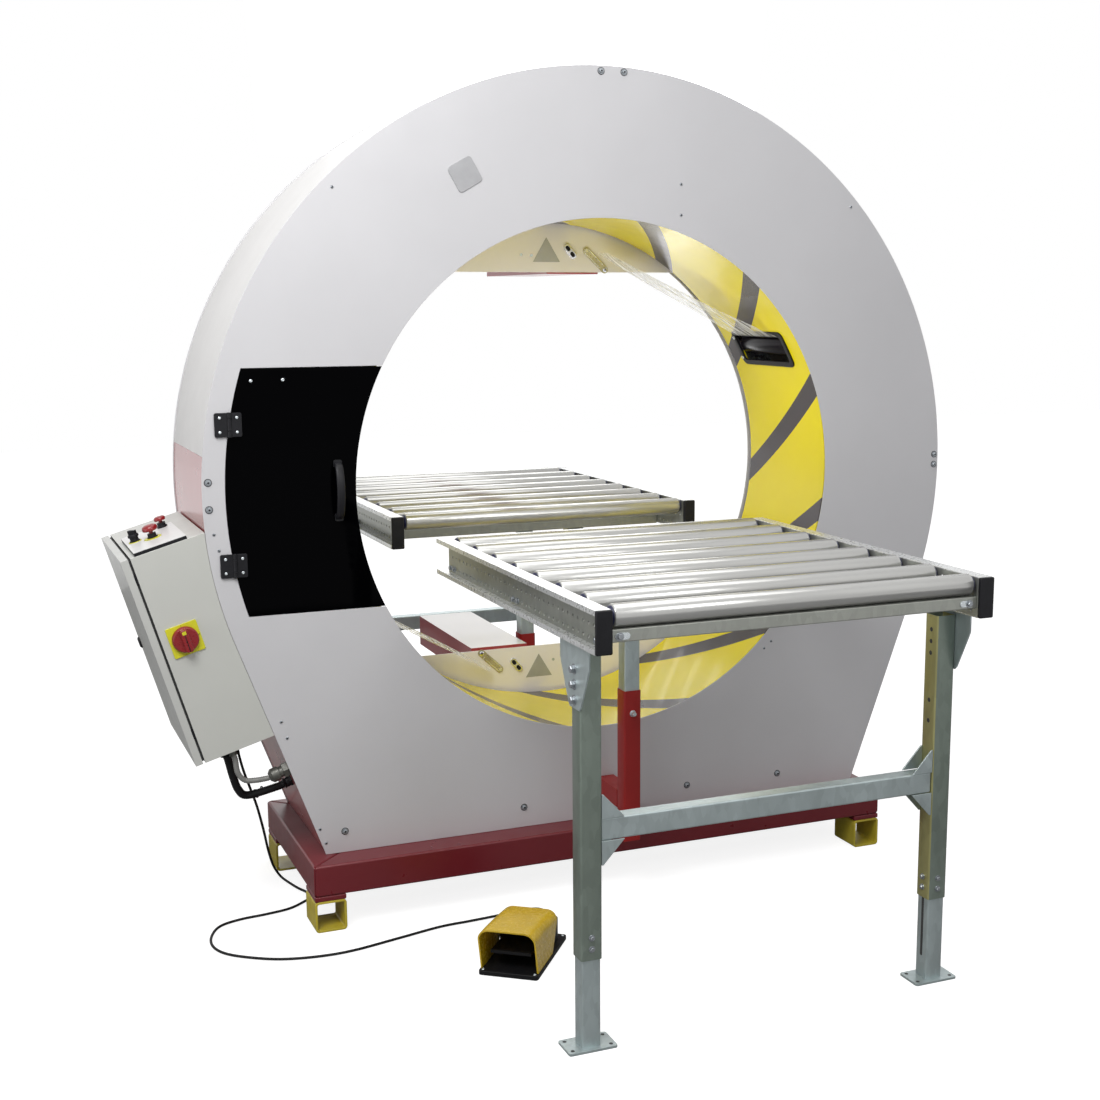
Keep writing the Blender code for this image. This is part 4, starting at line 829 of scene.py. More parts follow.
def make_film():
    """Clear film from each slot to the clamp's clip a sixth of a turn on, gathered towards the clip."""
    rows, columns = 28, 24
    axis = Vector((0, 0, AXIS_Z))
    for letter, turn in (("a", 0.0), ("b", 180.0)):
        spin = Matrix.Rotation(-math.radians(turn), 4, "Y")
        top = ring_point(SLOT_DEG + 3.3 + turn, 0.7055)
        clip = axis + spin @ Vector((0.186, 0.0, 0.622))
        wide = spin @ Vector((1.0, 0.0, 0.0))
        bm = bmesh.new()
        grid = []
        for i in range(rows + 1):
            along = i / rows
            line = []
            for j in range(columns + 1):
                across = j / columns
                start = top + Vector((0, 0.112 + 0.256 * across, 0))
                end = clip + Vector((0, 0.440 + 0.026 * across, 0)) + wide * 0.020 * (0.5 - across)
                spot = start.lerp(end, along)
                pleat = math.sin(across * 41.0 + 5.0 * along) * 0.5 + math.sin(across * 17.0 + 1.0) * 0.5
                lift = pleat * 0.0035 * math.sin(math.pi * min(along * 1.15, 1.0))
                inward = (axis - Vector((spot.x, 0, spot.z))).normalized()
                line.append(bm.verts.new(spot + inward * (lift + 0.004 * math.sin(math.pi * along))))
            grid.append(line)
        bridge(bm, grid, closed=False, caps=False)
        area = sum(face.calc_area() for face in bm.faces)
        sheet_piece = piece(f"film_web_{letter}", bm, "film", "ring", angle=60)


# ------------------------------------------------------------------ trays, clamps and cutters
TRAY_R = 0.730
TRAY_EDGE = 0.565
TRAY_BACK = DEPTH - SHEET - GAP
TRAY_FACE = TRAY_BACK - SHEET
CUTTER_PIN = (-0.205, 0.575)
CLAMPS = {"bottom": (-0.235, -0.055, 0.495, 0.592), "top": (0.020, 0.185, 1.708, 1.805)}


def half_turn(x, z, upper):
    """The lower clamp's place, or for the upper clamp the same place half a turn on."""
    return (-x, 2 * AXIS_Z - z) if upper else (x, z)


def make_trays():
    """Two crescent trays with a clamp housing, a cutter on its pin, a clip, screws and a bare plate each."""
    front = (0, -1, 0)
    reach = math.degrees(math.acos(TRAY_EDGE / TRAY_R))
    for word, upper in (("top", True), ("bottom", False)):
        outline = [half_turn(x, z, upper) for x, z in arc(TRAY_R, 270 - reach, 270 + reach, 90)]
        piece(f"tray_{word}", prism(bmesh.new(), outline, TRAY_FACE, TRAY_BACK), "beige", bevel=0.0008,
              replaces=(f"{word}_tray",))
        x0, x1, z0, z1 = CLAMPS[word]
        y0, y1 = DEPTH - SHEET, DEPTH - SHEET + 0.540
        low_z, high_z = (z0 + 0.002, z1 + 0.01) if upper else (z0 - 0.01, z1 - 0.002)
        shell = box(bmesh.new(), x0, x1, y0, y1, z0, z1)
        room = box(bmesh.new(), x0 + 0.002, x1 - 0.002, y0 + 0.002, y1 - 0.002, low_z, high_z)
        clamp = piece(f"clamp_box_{word}", carve(shell, room), "red_box", bevel=0.0015, segments=3,
                      replaces=(f"{word}_clamp_housing",))
        # Faces turned up get the near-white colour, whichever way the clamp faces: painted reflection.
        second_look(clamp, "clamp_top_painted_reflection", lambda face: face.normal.z > 0.9)
        px, pz = half_turn(*CUTTER_PIN, upper)
        bm = rod(bmesh.new(), (px, TRAY_FACE, pz), front, 0.0040, -0.0005, 0.0076, 20)
        lathe(bm, [(0.0075, 0.0058), (0.0075, 0.0068), (0.004, 0.0076)], (px, TRAY_FACE, pz), front, 24)
        piece(f"cutter_pin_{word}", bm, "chrome", bevel=0.0002)
        bm = bmesh.new()
        for x, z in ((-0.166, 0.540), (0.030, 0.534), (0.062, 0.532)):
            sx, sz = half_turn(x, z, upper)
            lathe(bm, [(0.0044, 0), (0.0044, 0.0012), (0.0022, 0.0012), (0.0022, 0.0003)], (sx, TRAY_FACE, sz),
                  front, 20)
        piece(f"tray_screws_{word}", bm, "zinc", bevel=0.0002)
        cx, cz = half_turn(-0.093, 0.522 if upper else 0.5285, upper)
        lean = turned((cx, 0, cz), math.radians(-40))
        stadium = rounded(-0.0105, 0.0105, -0.026, 0.026, 0.0104, 8)
        bm = prism(bmesh.new(), stadium, TRAY_FACE - 0.0045, TRAY_FACE - 0.0001, lean)
        piece(f"tray_clip_{word}", bm, "chrome", bevel=0.001)
        # Black shapes on the clip's face stand for its two slots: painted shade in the openings.
        bm = bmesh.new()
        for along in (-0.0115, 0.0115):
            prism(bm, rounded(-0.0058, 0.0058, along - 0.0088, along + 0.0088, 0.0057, 8), TRAY_FACE - 0.0049,
                  TRAY_FACE - 0.0044, lean)
        piece(f"tray_clip_slot_painted_shade_{word}", bm, "black", bevel=0.0002)
        tx, tz = half_turn(-0.018, 0.519, upper)
        triangle = [(tx - 0.043, tz - 0.034), (tx + 0.043, tz - 0.034), (tx, tz + 0.038)]
        piece(f"tray_triangle_{word}", prism(bmesh.new(), triangle, TRAY_FACE - 0.0008, TRAY_FACE - 0.0001),
              "plate_neutral", bevel=0.0003)
        make_cutter(word, upper)


def make_cutter(word, upper):
    """Lever that cuts the film: a folded strip with a tube knob, turning on its pin."""
    x, z = half_turn(*CUTTER_PIN, upper)
    turn = math.radians(-43.0) + (math.pi if upper else 0.0)
    face = TRAY_FACE - GAP
    front = face - 0.005
    place = turned((x, 0, z), -turn)
    lever = prism(bmesh.new(), rounded(-0.011, 0.091, -0.011, 0.011, 0.0108, 8), front + 0.0022, face, place)
    hole = rod(bmesh.new(), (x, 0, z), (0, 1, 0), 0.0043, front - 0.01, face + 0.01)
    piece(f"cutter_lever_{word}", carve(lever, hole), "zinc_gold", f"{word}_cutter", bevel=0.0006,
          replaces=(f"{word}_cutter_arm",))
    bm = bmesh.new()
    box(bm, 0.016, 0.080, front, front + 0.0021, -0.0085, -0.0060, place)
    box(bm, 0.016, 0.080, front, front + 0.0021, 0.0060, 0.0085, place)
    rod(bm, place @ Vector((0.082, front + 0.0022, 0)), (0, -1, 0), 0.0055, -0.0002, 0.0020, 20)
    piece(f"cutter_blade_{word}", bm, "chrome", f"{word}_cutter", bevel=0.0003)


# ------------------------------------------------------------------ tinted door
def make_door():
    """Tinted door with its hinges, screws and handle."""
    outline = door_outline(HOLE_R + 0.0005, DOOR_R, DOOR_MID - DOOR_HALF, DOOR_MID + DOOR_HALF)
    piece("door_glass", prism(bmesh.new(), outline, DOOR_Y, DOOR_Y + DOOR_T), "tinted", "tinted_door",
          bevel=0.0006, replaces=("tinted_door",))
    fixed, moving, screws, fixed_screws = (bmesh.new() for _ in range(4))
    hinge_x, hinge_y, barrel, leaf_y = -1.018, -0.0065, 0.006, -0.0075
    start = hinge_x + barrel + 2 * GAP
    for z in (1.330, 0.9755):
        low_z, high_z = z - 0.030, z + 0.030
        prism(fixed, rounded(-1.055, hinge_x - 0.002, low_z, high_z, 0.005), leaf_y, -GAP)
        rod(fixed, (hinge_x, hinge_y, 0), (0, 0, 1), barrel, low_z + 0.0145, high_z - 0.0145)
        prism(moving, rounded(start - 0.004, start + 0.024, low_z, high_z, 0.004), leaf_y, DOOR_Y - 0.0001)
        for part in ((low_z - 0.001, low_z + 0.014), (high_z - 0.014, high_z + 0.001)):
            rod(moving, (hinge_x, hinge_y, 0), (0, 0, 1), barrel, *part)
        for dz in (-0.018, 0.018):
            button_screw(fixed_screws, (-1.042, leaf_y, z + dz), (0, -1, 0), 0.0038, 0.0012)
            button_screw(screws, (start + 0.012, leaf_y, z + dz), (0, -1, 0), 0.0038, 0.0012)
    piece("hinge_leaves_fixed", fixed, "black", bevel=0.001,
          replaces=("door_hinge_upper", "door_hinge_lower"))
    piece("hinge_leaves_door", moving, "black", "tinted_door", bevel=0.001)
    piece("hinge_screws_fixed", fixed_screws, "zinc", bevel=0.0002)
    for x, z in ((-0.960, 1.437), (-0.880, 1.438)):
        button_screw(screws, (x, DOOR_Y, z), (0, -1, 0), 0.0045, 0.0022)
    piece("door_screws", screws, "zinc", "tinted_door", bevel=0.0002)
    make_door_pull()


def make_door_pull():
    """A bowed handle of rounded section, with a flat end at each screw."""
    face, steps, sides = DOOR_Y - GAP, 24, 16
    low_z, high_z = 1.084, 1.222
    half_w, half_t = 0.0105, 0.0056
    path = []
    for k in range(steps + 1):
        bow = math.sin(math.pi * k / steps) ** 0.45
        path.append(Vector((-0.748, face - 0.0045 - 0.0285 * bow, low_z + (high_z - low_z) * k / steps)))
    bm = bmesh.new()
    sections = []
    for k, spot in enumerate(path):
        ahead = path[min(k + 1, steps)] - path[max(k - 1, 0)]
        normal = Vector((0, ahead.z, -ahead.y)).normalized()
        line = []
        for s in range(sides):
            c, d = math.cos(2 * math.pi * s / sides), math.sin(2 * math.pi * s / sides)
            at = spot + Vector((math.copysign(abs(c) ** 0.6, c) * half_w, 0, 0))
            at += normal * math.copysign(abs(d) ** 0.6, d) * half_t
            at.y = min(at.y, face)
            line.append(bm.verts.new(at))
        sections.append(line)
    bridge(bm, sections)
    for z in (low_z, high_z):
        prism(bm, rounded(-0.759, -0.737, z - 0.010, z + 0.010, 0.005), face - 0.006, face)
    piece("door_pull", bm, "black", "tinted_door", bevel=0.0004, replaces=("door_handle",))


# ------------------------------------------------------------------ control cabinet
CAB_WALL = 0.002
BUTTONS = {"selector": (0.036, 0.150), "emergency_stop": (0.078, 0.120), "stop_button": (0.118, 0.225)}
PAD_T = 0.010
STEM_H = 0.013
SWITCH = (0.058, 0.238)


def make_cabinet():
    """The tilted cabinet against the housing's straight side: case, door, hinges, controls and glands."""
    y0, y1 = CAB_Y
    keep = HOUSING_R + 0.0006
    outer = cabinet_box(bmesh.new(), (0.0, 0.33), (0.0, CAB_LEN), CAB_Y)
    edge = prism(bmesh.new(), housing_outline(keep, 0.1), y0 - 0.05, y1 + 0.05)
    inner = cabinet_box(bmesh.new(), (-0.01, 0.33), (CAB_WALL, CAB_LEN - CAB_WALL),
                        (y0 + CAB_WALL, y1 - CAB_WALL))
    inner_edge = prism(bmesh.new(), housing_outline(keep + CAB_WALL, 0.1), y0 - 0.05, y1 + 0.05)
    piece("cabinet_case", carve(carve(outer, edge), carve(inner, inner_edge)), "cabinet", bevel=0.0022,
          segments=3, replaces=("cabinet_shell",))
    bm = cabinet_box(bmesh.new(), (-0.025, -0.006), (0.0, CAB_LEN), CAB_Y)
    room = cabinet_box(bmesh.new(), (-0.023, 0.01), (CAB_WALL, CAB_LEN - CAB_WALL),
                       (y0 + CAB_WALL, y1 - CAB_WALL))
    piece("cabinet_door_skin", carve(bm, room), "cabinet_door", "cabinet_door", bevel=0.0022, segments=3,
          replaces=("cabinet_door",))
    ring_out, ring_in = (cabinet_box(bmesh.new(), along, (inset, CAB_LEN - inset), (y0 + inset, y1 - inset))
                         for along, inset in (((-0.0095, -0.0006), 0.006), ((-0.02, 0.01), 0.016)))
    piece("cabinet_gasket", carve(ring_out, ring_in), "gasket", "cabinet_door", bevel=0.001)
    bm = bmesh.new()
    for down in (0.055, 0.478):
        rod(bm, at_cabinet(-0.003, down, y0 + 0.0052), DOWN, 0.0050, -0.015, 0.015, 20)
        cabinet_box(bm, (-0.0235, -0.0055), (down - 0.013, down + 0.013), (y0 + 0.0001, y0 + 0.0022))
    piece("cabinet_hinges", bm, "black", "cabinet_door", bevel=0.0006)
    make_cabinet_inside(y0, y1)
    make_lock()
    make_main_switch(y0)
    make_control_pad()
    bm = gland(bmesh.new(), at_cabinet(0.095, CAB_LEN, 0.120), DOWN, 0.0098, 0.0048, GLAND_LEN)
    piece("cable_gland_cabinet", bm, "grey_gland", bevel=0.0005)
    bm = gland(bmesh.new(), at_cabinet(0.060, CAB_LEN, 0.070), DOWN, 0.0158, 0.0105, GLAND_LEN)
    piece("conduit_gland_cabinet", bm, "black", bevel=0.0005)


def make_cabinet_inside(y0, y1):
    """Mounting plate with rows of plain switchgear, seen when the door is open."""
    bm = cabinet_box(bmesh.new(), (0.092, 0.0945), (0.14, 0.47), (y0 + 0.02, y1 - 0.02))
    piece("cabinet_back_plate", bm, "zinc", bevel=0.0006)
    gear, ducts = bmesh.new(), bmesh.new()
    for down, tall, count in ((0.17, 0.075, 7), (0.28, 0.085, 5), (0.385, 0.06, 9)):
        end = down + tall
        width = 0.34 / count
        for k in range(count):
            y = y0 + 0.05 + width * k
            cabinet_box(gear, (0.045, 0.0919), (down, end), (y, y + width * 0.88))
            middle = (down + tall * 0.3, down + tall * 0.7)
            cabinet_box(gear, (0.038, 0.0452), middle, (y + 0.004, y + width * 0.7))
        cabinet_box(ducts, (0.055, 0.0919), (end + 0.008, end + 0.024), (y0 + 0.04, y1 - 0.04))
    piece("cabinet_switchgear", gear, "motor", bevel=0.0015)
    piece("cabinet_ducts", ducts, "cabinet", bevel=0.001)


def make_lock():
    seat = at_cabinet(-0.025, 0.300, 0.400)
    bm = lathe(bmesh.new(), [(0.0158, GAP), (0.0158, 0.0030), (0.0125, 0.0058)], seat, -ALONG, 32)
    piece("cabinet_lock_body", bm, "black", "cabinet_lock", bevel=0.0004, replaces=("cabinet_lock",))
    bm = box(bmesh.new(), -0.0060, -0.0055, -0.0085, 0.0085, -0.0016, 0.0016, turned(seat, -TILT))
    piece("cabinet_lock_slot", bm, "chrome", "cabinet_lock", bevel=0.0001)


def make_main_switch(y0):
    """A yellow plate on the cabinet's front with a red collar and grip that turn together, marked I and O."""
    spot = at_cabinet(*SWITCH, y0 - 0.004)
    place = turned(spot, -TILT)
    front = (0, -1, 0)

    def bar(name, half_x, z0, z1, radius, y0, y1, material, body, **edge):
        block = prism(bmesh.new(), rounded(-half_x, half_x, z0, z1, radius), y0, y1, place)
        piece(f"main_switch_{name}", block, material, body, **edge)

    bar("plate", 0.040, -0.040, 0.040, 0.004, 0.0, 0.0041, "switch_yellow", "machine", bevel=0.0008)
    collar = [(0.0338, 0.0002), (0.0338, 0.003), (0.0322, 0.010), (0.0300, 0.0125)]
    bm = lathe(bmesh.new(), collar, spot, front, 48)
    piece("main_switch_collar", bm, "switch_red", "main_switch", bevel=0.0006, replaces=("main_switch_knob",))
    bar("grip", 0.0095, -0.0300, 0.0300, 0.006, -0.0260, -0.0120, "switch_red", "main_switch", bevel=0.0025,
        segments=4)
    bar("mark", 0.0052, 0.0170, 0.0255, 0.001, -0.0266, -0.0259, "switch_yellow", "main_switch", bevel=0.0002)
    # The black disc at the grip's centre and the black line down the grip are painted shade of the centre hole
    # and of the grip's edge; the lower black disc is a screw head.
    bm = rod(bmesh.new(), place @ Vector((0.0, -0.0259, -0.002)), front, 0.0022, 0.0, 0.0005, 16)
    rod(bm, place @ Vector((0.0, -0.0259, -0.021)), front, 0.0016, 0.0, 0.0005, 16)
    box(bm, -0.0010, 0.0010, -0.0264, -0.0258, -0.0285, 0.0160, place)
    piece("main_switch_screw_and_painted_shade", bm, "black", "main_switch", bevel=0.0001)
    for name, text, x, z in (("mark_on", "I", 0.0, 0.0362), ("mark_off", "O", 0.0362, 0.0)):
        data = bpy.data.curves.new(name, "FONT")
        data.body = text
        data.size = 0.011
        data.align_x = "CENTER"
        data.align_y = "CENTER"
        data.extrude = 0.0002
        data.materials.append(MATS["black"])
        obj = add_object(name, data)
        upright = Matrix.Translation((x, -0.0003, z)) @ Matrix.Rotation(math.pi / 2, 4, "X")
        obj.matrix_world = Matrix.Translation(ORIGIN) @ place @ upright
        obj.scale = (0.5, 0.5, 1.0)
        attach(obj, "machine")


def make_control_pad():
    """The sloping pad on the cabinet's top: a selector, an emergency stop and a stop button."""
    # The black base under the thin white plate stands for the shadow gap under the raised plate: painted shade.
    for name, low_y, high_y, look, bevel in (("base", -PAD_T + 0.0016, 0.0, "black", 0.001),
                                             ("plate", -PAD_T, -PAD_T + 0.0016, "white_plastic", 0.0006)):
        bm = cabinet_box(bmesh.new(), (0.012, 0.146), (low_y, high_y), (0.003, 0.262))
        piece(f"control_pad_{name}", bm, look, bevel=bevel)
    stems, rings = bmesh.new(), bmesh.new()
    up = -DOWN
    for name, (along, y) in BUTTONS.items():
        seat = at_cabinet(along, -PAD_T, y)
        lathe(stems, [(0.0135, 0), (0.0135, 0.004), (0.011, 0.005), (0.011, STEM_H)], seat, up, 32)
        outer = 0.0225 if name == "emergency_stop" else 0.0165
        if name != "stop_button":
            lathe(rings, [(0.0136, 0.0001), (outer, 0.0001), (outer, 0.0016), (0.0136, 0.0016)], seat, up, 40,
                  closed=True)
    piece("button_stems", stems, "black", bevel=0.0004)
    piece("button_rings", rings, "switch_yellow", bevel=0.0004)
    seats = {name: at_cabinet(along, -PAD_T - STEM_H, y) for name, (along, y) in BUTTONS.items()}
    seat = seats["selector"]
    bm = lathe(bmesh.new(), [(0.0138, GAP), (0.0138, 0.006), (0.0125, 0.0075)], seat, up, 40)
    turn = turned(seat, -TILT) @ Matrix.Rotation(math.radians(35), 4, "Z")
    box(bm, -0.0042, 0.0042, -0.0128, 0.0128, 0.007, 0.0178, turn)
    piece("selector_grip", bm, "black", "selector", bevel=0.0008, replaces=("selector_knob",))
    bm = box(bmesh.new(), -0.0007, 0.0007, -0.0126, -0.002, 0.0176, 0.01815, turn)
    piece("selector_mark", bm, "white_plastic", "selector", bevel=0.0001)
    travel = GAP + 0.006
    mushroom = ((0.0150, 0), (0.0190, 0.002), (0.0198, 0.005), (0.0194, 0.009), (0.0172, 0.0128),
                (0.0125, 0.0152), (0.006, 0.0160))
    button = ((0.0142, 0), (0.0148, 0.001), (0.0148, 0.0065), (0.0118, 0.0095), (0.0060, 0.0100))
    for name, body, profile, steps in (("emergency_cap", "emergency_stop", mushroom, 48),
                                       ("stop_cap", "stop_button", button, 40)):
        bm = lathe(bmesh.new(), [(radius, travel + rise) for radius, rise in profile], seats[body], up, steps)
        rod(bm, seats[body], up, 0.005, -0.006, travel + 0.001, 20)
        piece(name, bm, "switch_red", body, angle=50, replaces=(body,))


# ------------------------------------------------------------------ foot pedal
PLATE_H = 0.012
HOOD_TOP = 0.125


def hood_section(inset, steps=14):
    """Half-width and height of the hood's arch from one foot to the other."""
    half = 0.074 - inset
    top = HOOD_TOP - inset
    radius = 0.030 - inset
    points = [(half, 0.0)]
    for i in range(1, 4):
        points.append((half, PLATE_H + (top - radius - PLATE_H) * i / 4))
    for i in range(steps + 1):
        a = math.pi / 2 * i / steps
        points.append((half - radius + radius * math.cos(a), top - radius + radius * math.sin(a)))
    for i in range(1, 4):
        points.append(((half - radius) * (1 - i / 4), top))
    points.append((0.0, top))
    return points + [(-x, z) for x, z in points[-2::-1]]


def hood_loft(inset, low_z, front, back, steps=20):
    """The arch carried from front to back, leaning out at both ends and lower at the rear."""
    rise = HOOD_TOP - PLATE_H
    fall_back = (HOOD_TOP - 0.106) / rise
    bm = bmesh.new()
    rows = []
    for k in range(steps + 1):
        along = k / steps
        row = []
        for x, z in hood_section(inset):
            up = max(z, low_z) - PLATE_H
            lean = -0.030 * (1 - along) + 0.052 * along
            y = front + (back - front) * along + lean * up / rise
            row.append(bm.verts.new(PEDAL @ Vector((x, y, PLATE_H + up * (1 - fall_back * along ** 1.5)))))
        rows.append(row)
    return bridge(bm, rows)


def make_pedal():
    half_w, half_l = 0.0765, 0.1335
    bm = slab(bmesh.new(), rounded(-half_w, half_w, -half_l, half_l, 0.008), 0.0, PLATE_H, PEDAL)
    piece("pedal_plate", bm, "black_soft", bevel=0.002, segments=3, replaces=("pedal_base",))
    bm = box(bmesh.new(), -0.062, 0.062, -0.006, PEDAL_BACK, PLATE_H, 0.074, PEDAL)
    piece("pedal_body", bm, "black", bevel=0.006, segments=4)
    seat = PEDAL @ Vector((0.0, PEDAL_BACK, PEDAL_GLAND_Z))
    piece("pedal_gland", gland(bmesh.new(), seat, CABLE_WAY, 0.0098, 0.0048, GLAND_LEN), "black", bevel=0.0005)
    shell = hood_loft(0.0, PLATE_H + GAP, -0.118, 0.010)
    room = hood_loft(0.004, PLATE_H - 0.01, -0.130, 0.022)
    piece("pedal_cover", carve(shell, room), "hood_yellow", bevel=0.0014, segments=3, angle=45,
          replaces=("pedal_hood",))
    bm = bmesh.new()
    for x, y in ((-0.066, -0.124), (0.066, -0.124), (-0.068, 0.122), (0.068, 0.122)):
        button_screw(bm, PEDAL @ Vector((x, y, PLATE_H)), (0, 0, 1), 0.0042, 0.002)
    piece("pedal_screws", bm, "zinc", bevel=0.0002)
    make_tread()


def make_tread():
    """The treadle: a plate on a hinge barrel, rising a little to its front, with ribs across its top."""
    pivot_y, front_y, level, thick, half, ribs = -0.0125, -0.108, 0.050, 0.008, 0.052, 14
    bm = bmesh.new()
    rows = []
    for k in range(ribs * 2 + 1):
        share = k / (ribs * 2)
        y = pivot_y + (front_y - pivot_y) * share
        low_z = level + thick / 2 * (share - 1)
        top_z = level + thick / 2 * (share + 1) - (0.0012 if k % 2 else 0.0)
        rows.append([bm.verts.new(PEDAL @ Vector((x, y, z))) for x, z in ((-half, low_z), (half, low_z),
                                                                         (half, top_z), (-half, top_z))])
    bridge(bm, rows)
    across = PEDAL.to_3x3() @ Vector((1, 0, 0))
    rod(bm, PEDAL @ Vector((0.0, pivot_y, level)), across, 0.0058, -half, half, 20)
    piece("pedal_tread", bm, "black_soft", "treadle", bevel=0.0004, replaces=("pedal_treadle",))


# ------------------------------------------------------------------ roller tables
HOLE_PITCH = PITCH / 5
END_BAR_LIFT = 0.0215
HOLE_ROWS = ((0.9350, 0.92245, 0.94985, 0.0042), (0.9647, 0.94985, 0.97955, 0.0040),
             (0.9944, 0.97955, 1.0092, 0.0042))


def perforated_web(y0, y1, first, holes):
    """Web of a rail: a plate with rows of round holes, one cell to a hole and plain ends."""
    bm = bmesh.new()
    steps = 4
    columns = [first + HOLE_PITCH * (k - 0.5) for k in range(holes + 1)]
    levels = [RAIL_LOW + RAIL_T, HOLE_ROWS[0][1], HOLE_ROWS[1][1], HOLE_ROWS[2][1], HOLE_ROWS[2][2],
              TABLE_TOP - RAIL_T]
    points = {}

    def vert(y, z):
        key = (round(y, 6), round(z, 6))
        if key not in points:
            points[key] = bm.verts.new((WEB_IN, y, z))
        return points[key]

    for column, y in enumerate(columns[:-1]):
        nxt = columns[column + 1]
        fine = [y + (nxt - y) * s / steps for s in range(steps + 1)]
        for low_z, high_z in ((levels[0], levels[1]), (levels[4], levels[5])):
            for a, b in zip(fine, fine[1:]):
                bm.faces.new((vert(a, low_z), vert(b, low_z), vert(b, high_z), vert(a, high_z)))
        for centre_z, low_z, high_z, radius in HOLE_ROWS:
            tall = [low_z + (high_z - low_z) * s / steps for s in range(steps + 1)]
            rim = [(y, low_z) for y in fine[:-1]] + [(nxt, z) for z in tall[:-1]]
            rim += [(y, high_z) for y in fine[:0:-1]] + [(fine[0], z) for z in tall[:0:-1]]
            hole = []
            for s in range(4 * steps):
                a = -3 * math.pi / 4 + 2 * math.pi * s / (4 * steps)
                edge_y = (fine[0] + nxt) / 2 + radius * math.cos(a)
                hole.append(bm.verts.new((WEB_IN, edge_y, centre_z + radius * math.sin(a))))
            bridge(bm, [[vert(*spot) for spot in rim], hole], caps=False)
    for a, b in ((y0, columns[0]), (columns[-1], y1)):
        if b - a < 0.0005:
            continue
        tall = [levels[0], levels[1]]
        for _, low_z, high_z, _ in HOLE_ROWS:
            tall += [low_z + (high_z - low_z) * (s + 1) / steps for s in range(steps)]
        tall.append(levels[5])
        for low_z, high_z in zip(tall, tall[1:]):
            bm.faces.new((vert(a, low_z), vert(b, low_z), vert(b, high_z), vert(a, high_z)))
    bmesh.ops.recalc_face_normals(bm, faces=bm.faces)
    bmesh.ops.solidify(bm, geom=bm.faces[:], thickness=RAIL_T)
    far = max(v.co.x for v in bm.verts)
    if far < WEB_IN + RAIL_T / 2:
        bmesh.ops.translate(bm, vec=(RAIL_T, 0, 0), verts=bm.verts)
    return bm


def make_table(name, start, out):
    """A roller table. out is -1 towards the operator and +1 away, start is its end at the ring."""
    body = f"{name}_table"

    def at(from_start):
        return start + out * from_start

    def span(a, b):
        return sorted((at(a), at(b)))

    cap = 0.010
    y0, y1 = span(cap if out > 0 else 0.0, TABLE_LEN - cap)
    first = min(at(INSET), at(TABLE_LEN - INSET))
    holes = 5 * (ROLLERS - 1) + 1
    while first - HOLE_PITCH * 1.5 > y0:
        first -= HOLE_PITCH
        holes += 1
    while first + HOLE_PITCH * (holes + 0.5) < y1:
        holes += 1
    rails, webs, caps = bmesh.new(), bmesh.new(), bmesh.new()
    ends = [span(TABLE_LEN - cap + 0.0002, TABLE_LEN)] + ([span(0.0, cap - 0.0002)] if out > 0 else [])
    for side in (-1, 1):
        web = perforated_web(y0, y1, first, holes)
        bmesh.ops.transform(web, matrix=Matrix.Diagonal((side, 1.0, 1.0, 1.0)), verts=web.verts)
        merge(webs, web)
        outer, lip = side * RAIL_OUT, side * (RAIL_OUT - 0.0025)
        for x, z0, z1 in ((side * WEB_IN, RAIL_LOW, RAIL_LOW + RAIL_T),
                          (side * WEB_IN, TABLE_TOP - RAIL_T, TABLE_TOP),
                          (lip, RAIL_LOW + RAIL_T - 0.0005, RAIL_LOW + 0.012),
                          (lip, TABLE_TOP - 0.012, TABLE_TOP - RAIL_T + 0.0005)):
            box(rails, x, outer, y0, y1, z0, z1)
        x0, x1 = sorted((side * (WEB_IN - 0.0005), outer))
        for a, b in ends:
            prism(caps, rounded(x0, x1, RAIL_LOW, TABLE_TOP, 0.004), a, b)
    piece(f"{name}_rail_webs", webs, "galvanised", body, angle=30, replaces=(f"{name}_table_frame",))
    piece(f"{name}_rail_flanges", rails, "flange", body, bevel=0.0008)
    piece(f"{name}_end_caps", caps, "black", body, bevel=0.003, segments=3)

    axles, clips = bmesh.new(), bmesh.new()
    for number in range(1, ROLLERS + 1):
        y = at(INSET + PITCH * (number - 1))
        for side in (-1, 1):
            rod(axles, (side * 0.4410, y, ROLLER_Z), (side, 0, 0), 0.0060, 0.0, WEB_IN - 0.4411, 6)
            outside = side * (WEB_IN + RAIL_T)
            rod(axles, (outside + side * 0.0001, y, ROLLER_Z), (side, 0, 0), 0.0042, 0.0, 0.0042, 16)
            place = Matrix.Translation((outside, y, ROLLER_Z - 0.0015))
            clip = rounded(-0.0098, 0.0098, -0.0075, 0.0075, 0.0015, 2)
            plate_x(clips, clip, *sorted((0.0001 * side, 0.0034 * side)), place)
        make_roller(f"{name}_roller", number, y)
    piece(f"{name}_axles", axles, "zinc", body, bevel=0.0003)
    piece(f"{name}_axle_clips", clips, "black", body, bevel=0.0006)
    make_table_frame(name, body, out, at)


def make_roller(name, number, y):
    """A roller's tube with turned-in ends, and the dark bearing in each end."""
    body = f"{name}_{number}"
    tube_end = ((0.0063, 0.4424), (0.0215, 0.4424), (0.0235, 0.4418), (ROLLER_R, 0.4395))
    profile = [(r, -x) for r, x in tube_end] + [(r, x) for r, x in reversed(tube_end)]
    bm = lathe(bmesh.new(), profile, (0, y, ROLLER_Z), (1, 0, 0), 56, closed=True)
    piece(f"{name}_tube_{number}", bm, "roller", body, angle=50, replaces=(body,))
    bm = bmesh.new()
    for side in (-1, 1):
        lathe(bm, [(0.0072, 0.0), (0.0212, 0.0), (0.0218, 0.0022), (0.0190, 0.0060), (0.0125, 0.0080),
                   (0.0090, 0.0086), (0.0072, 0.0086)], (side * 0.4425, y, ROLLER_Z), (side, 0, 0), 36,
              closed=True)
    piece(f"{name}_bearings_{number}", bm, "bearing", body, angle=50)


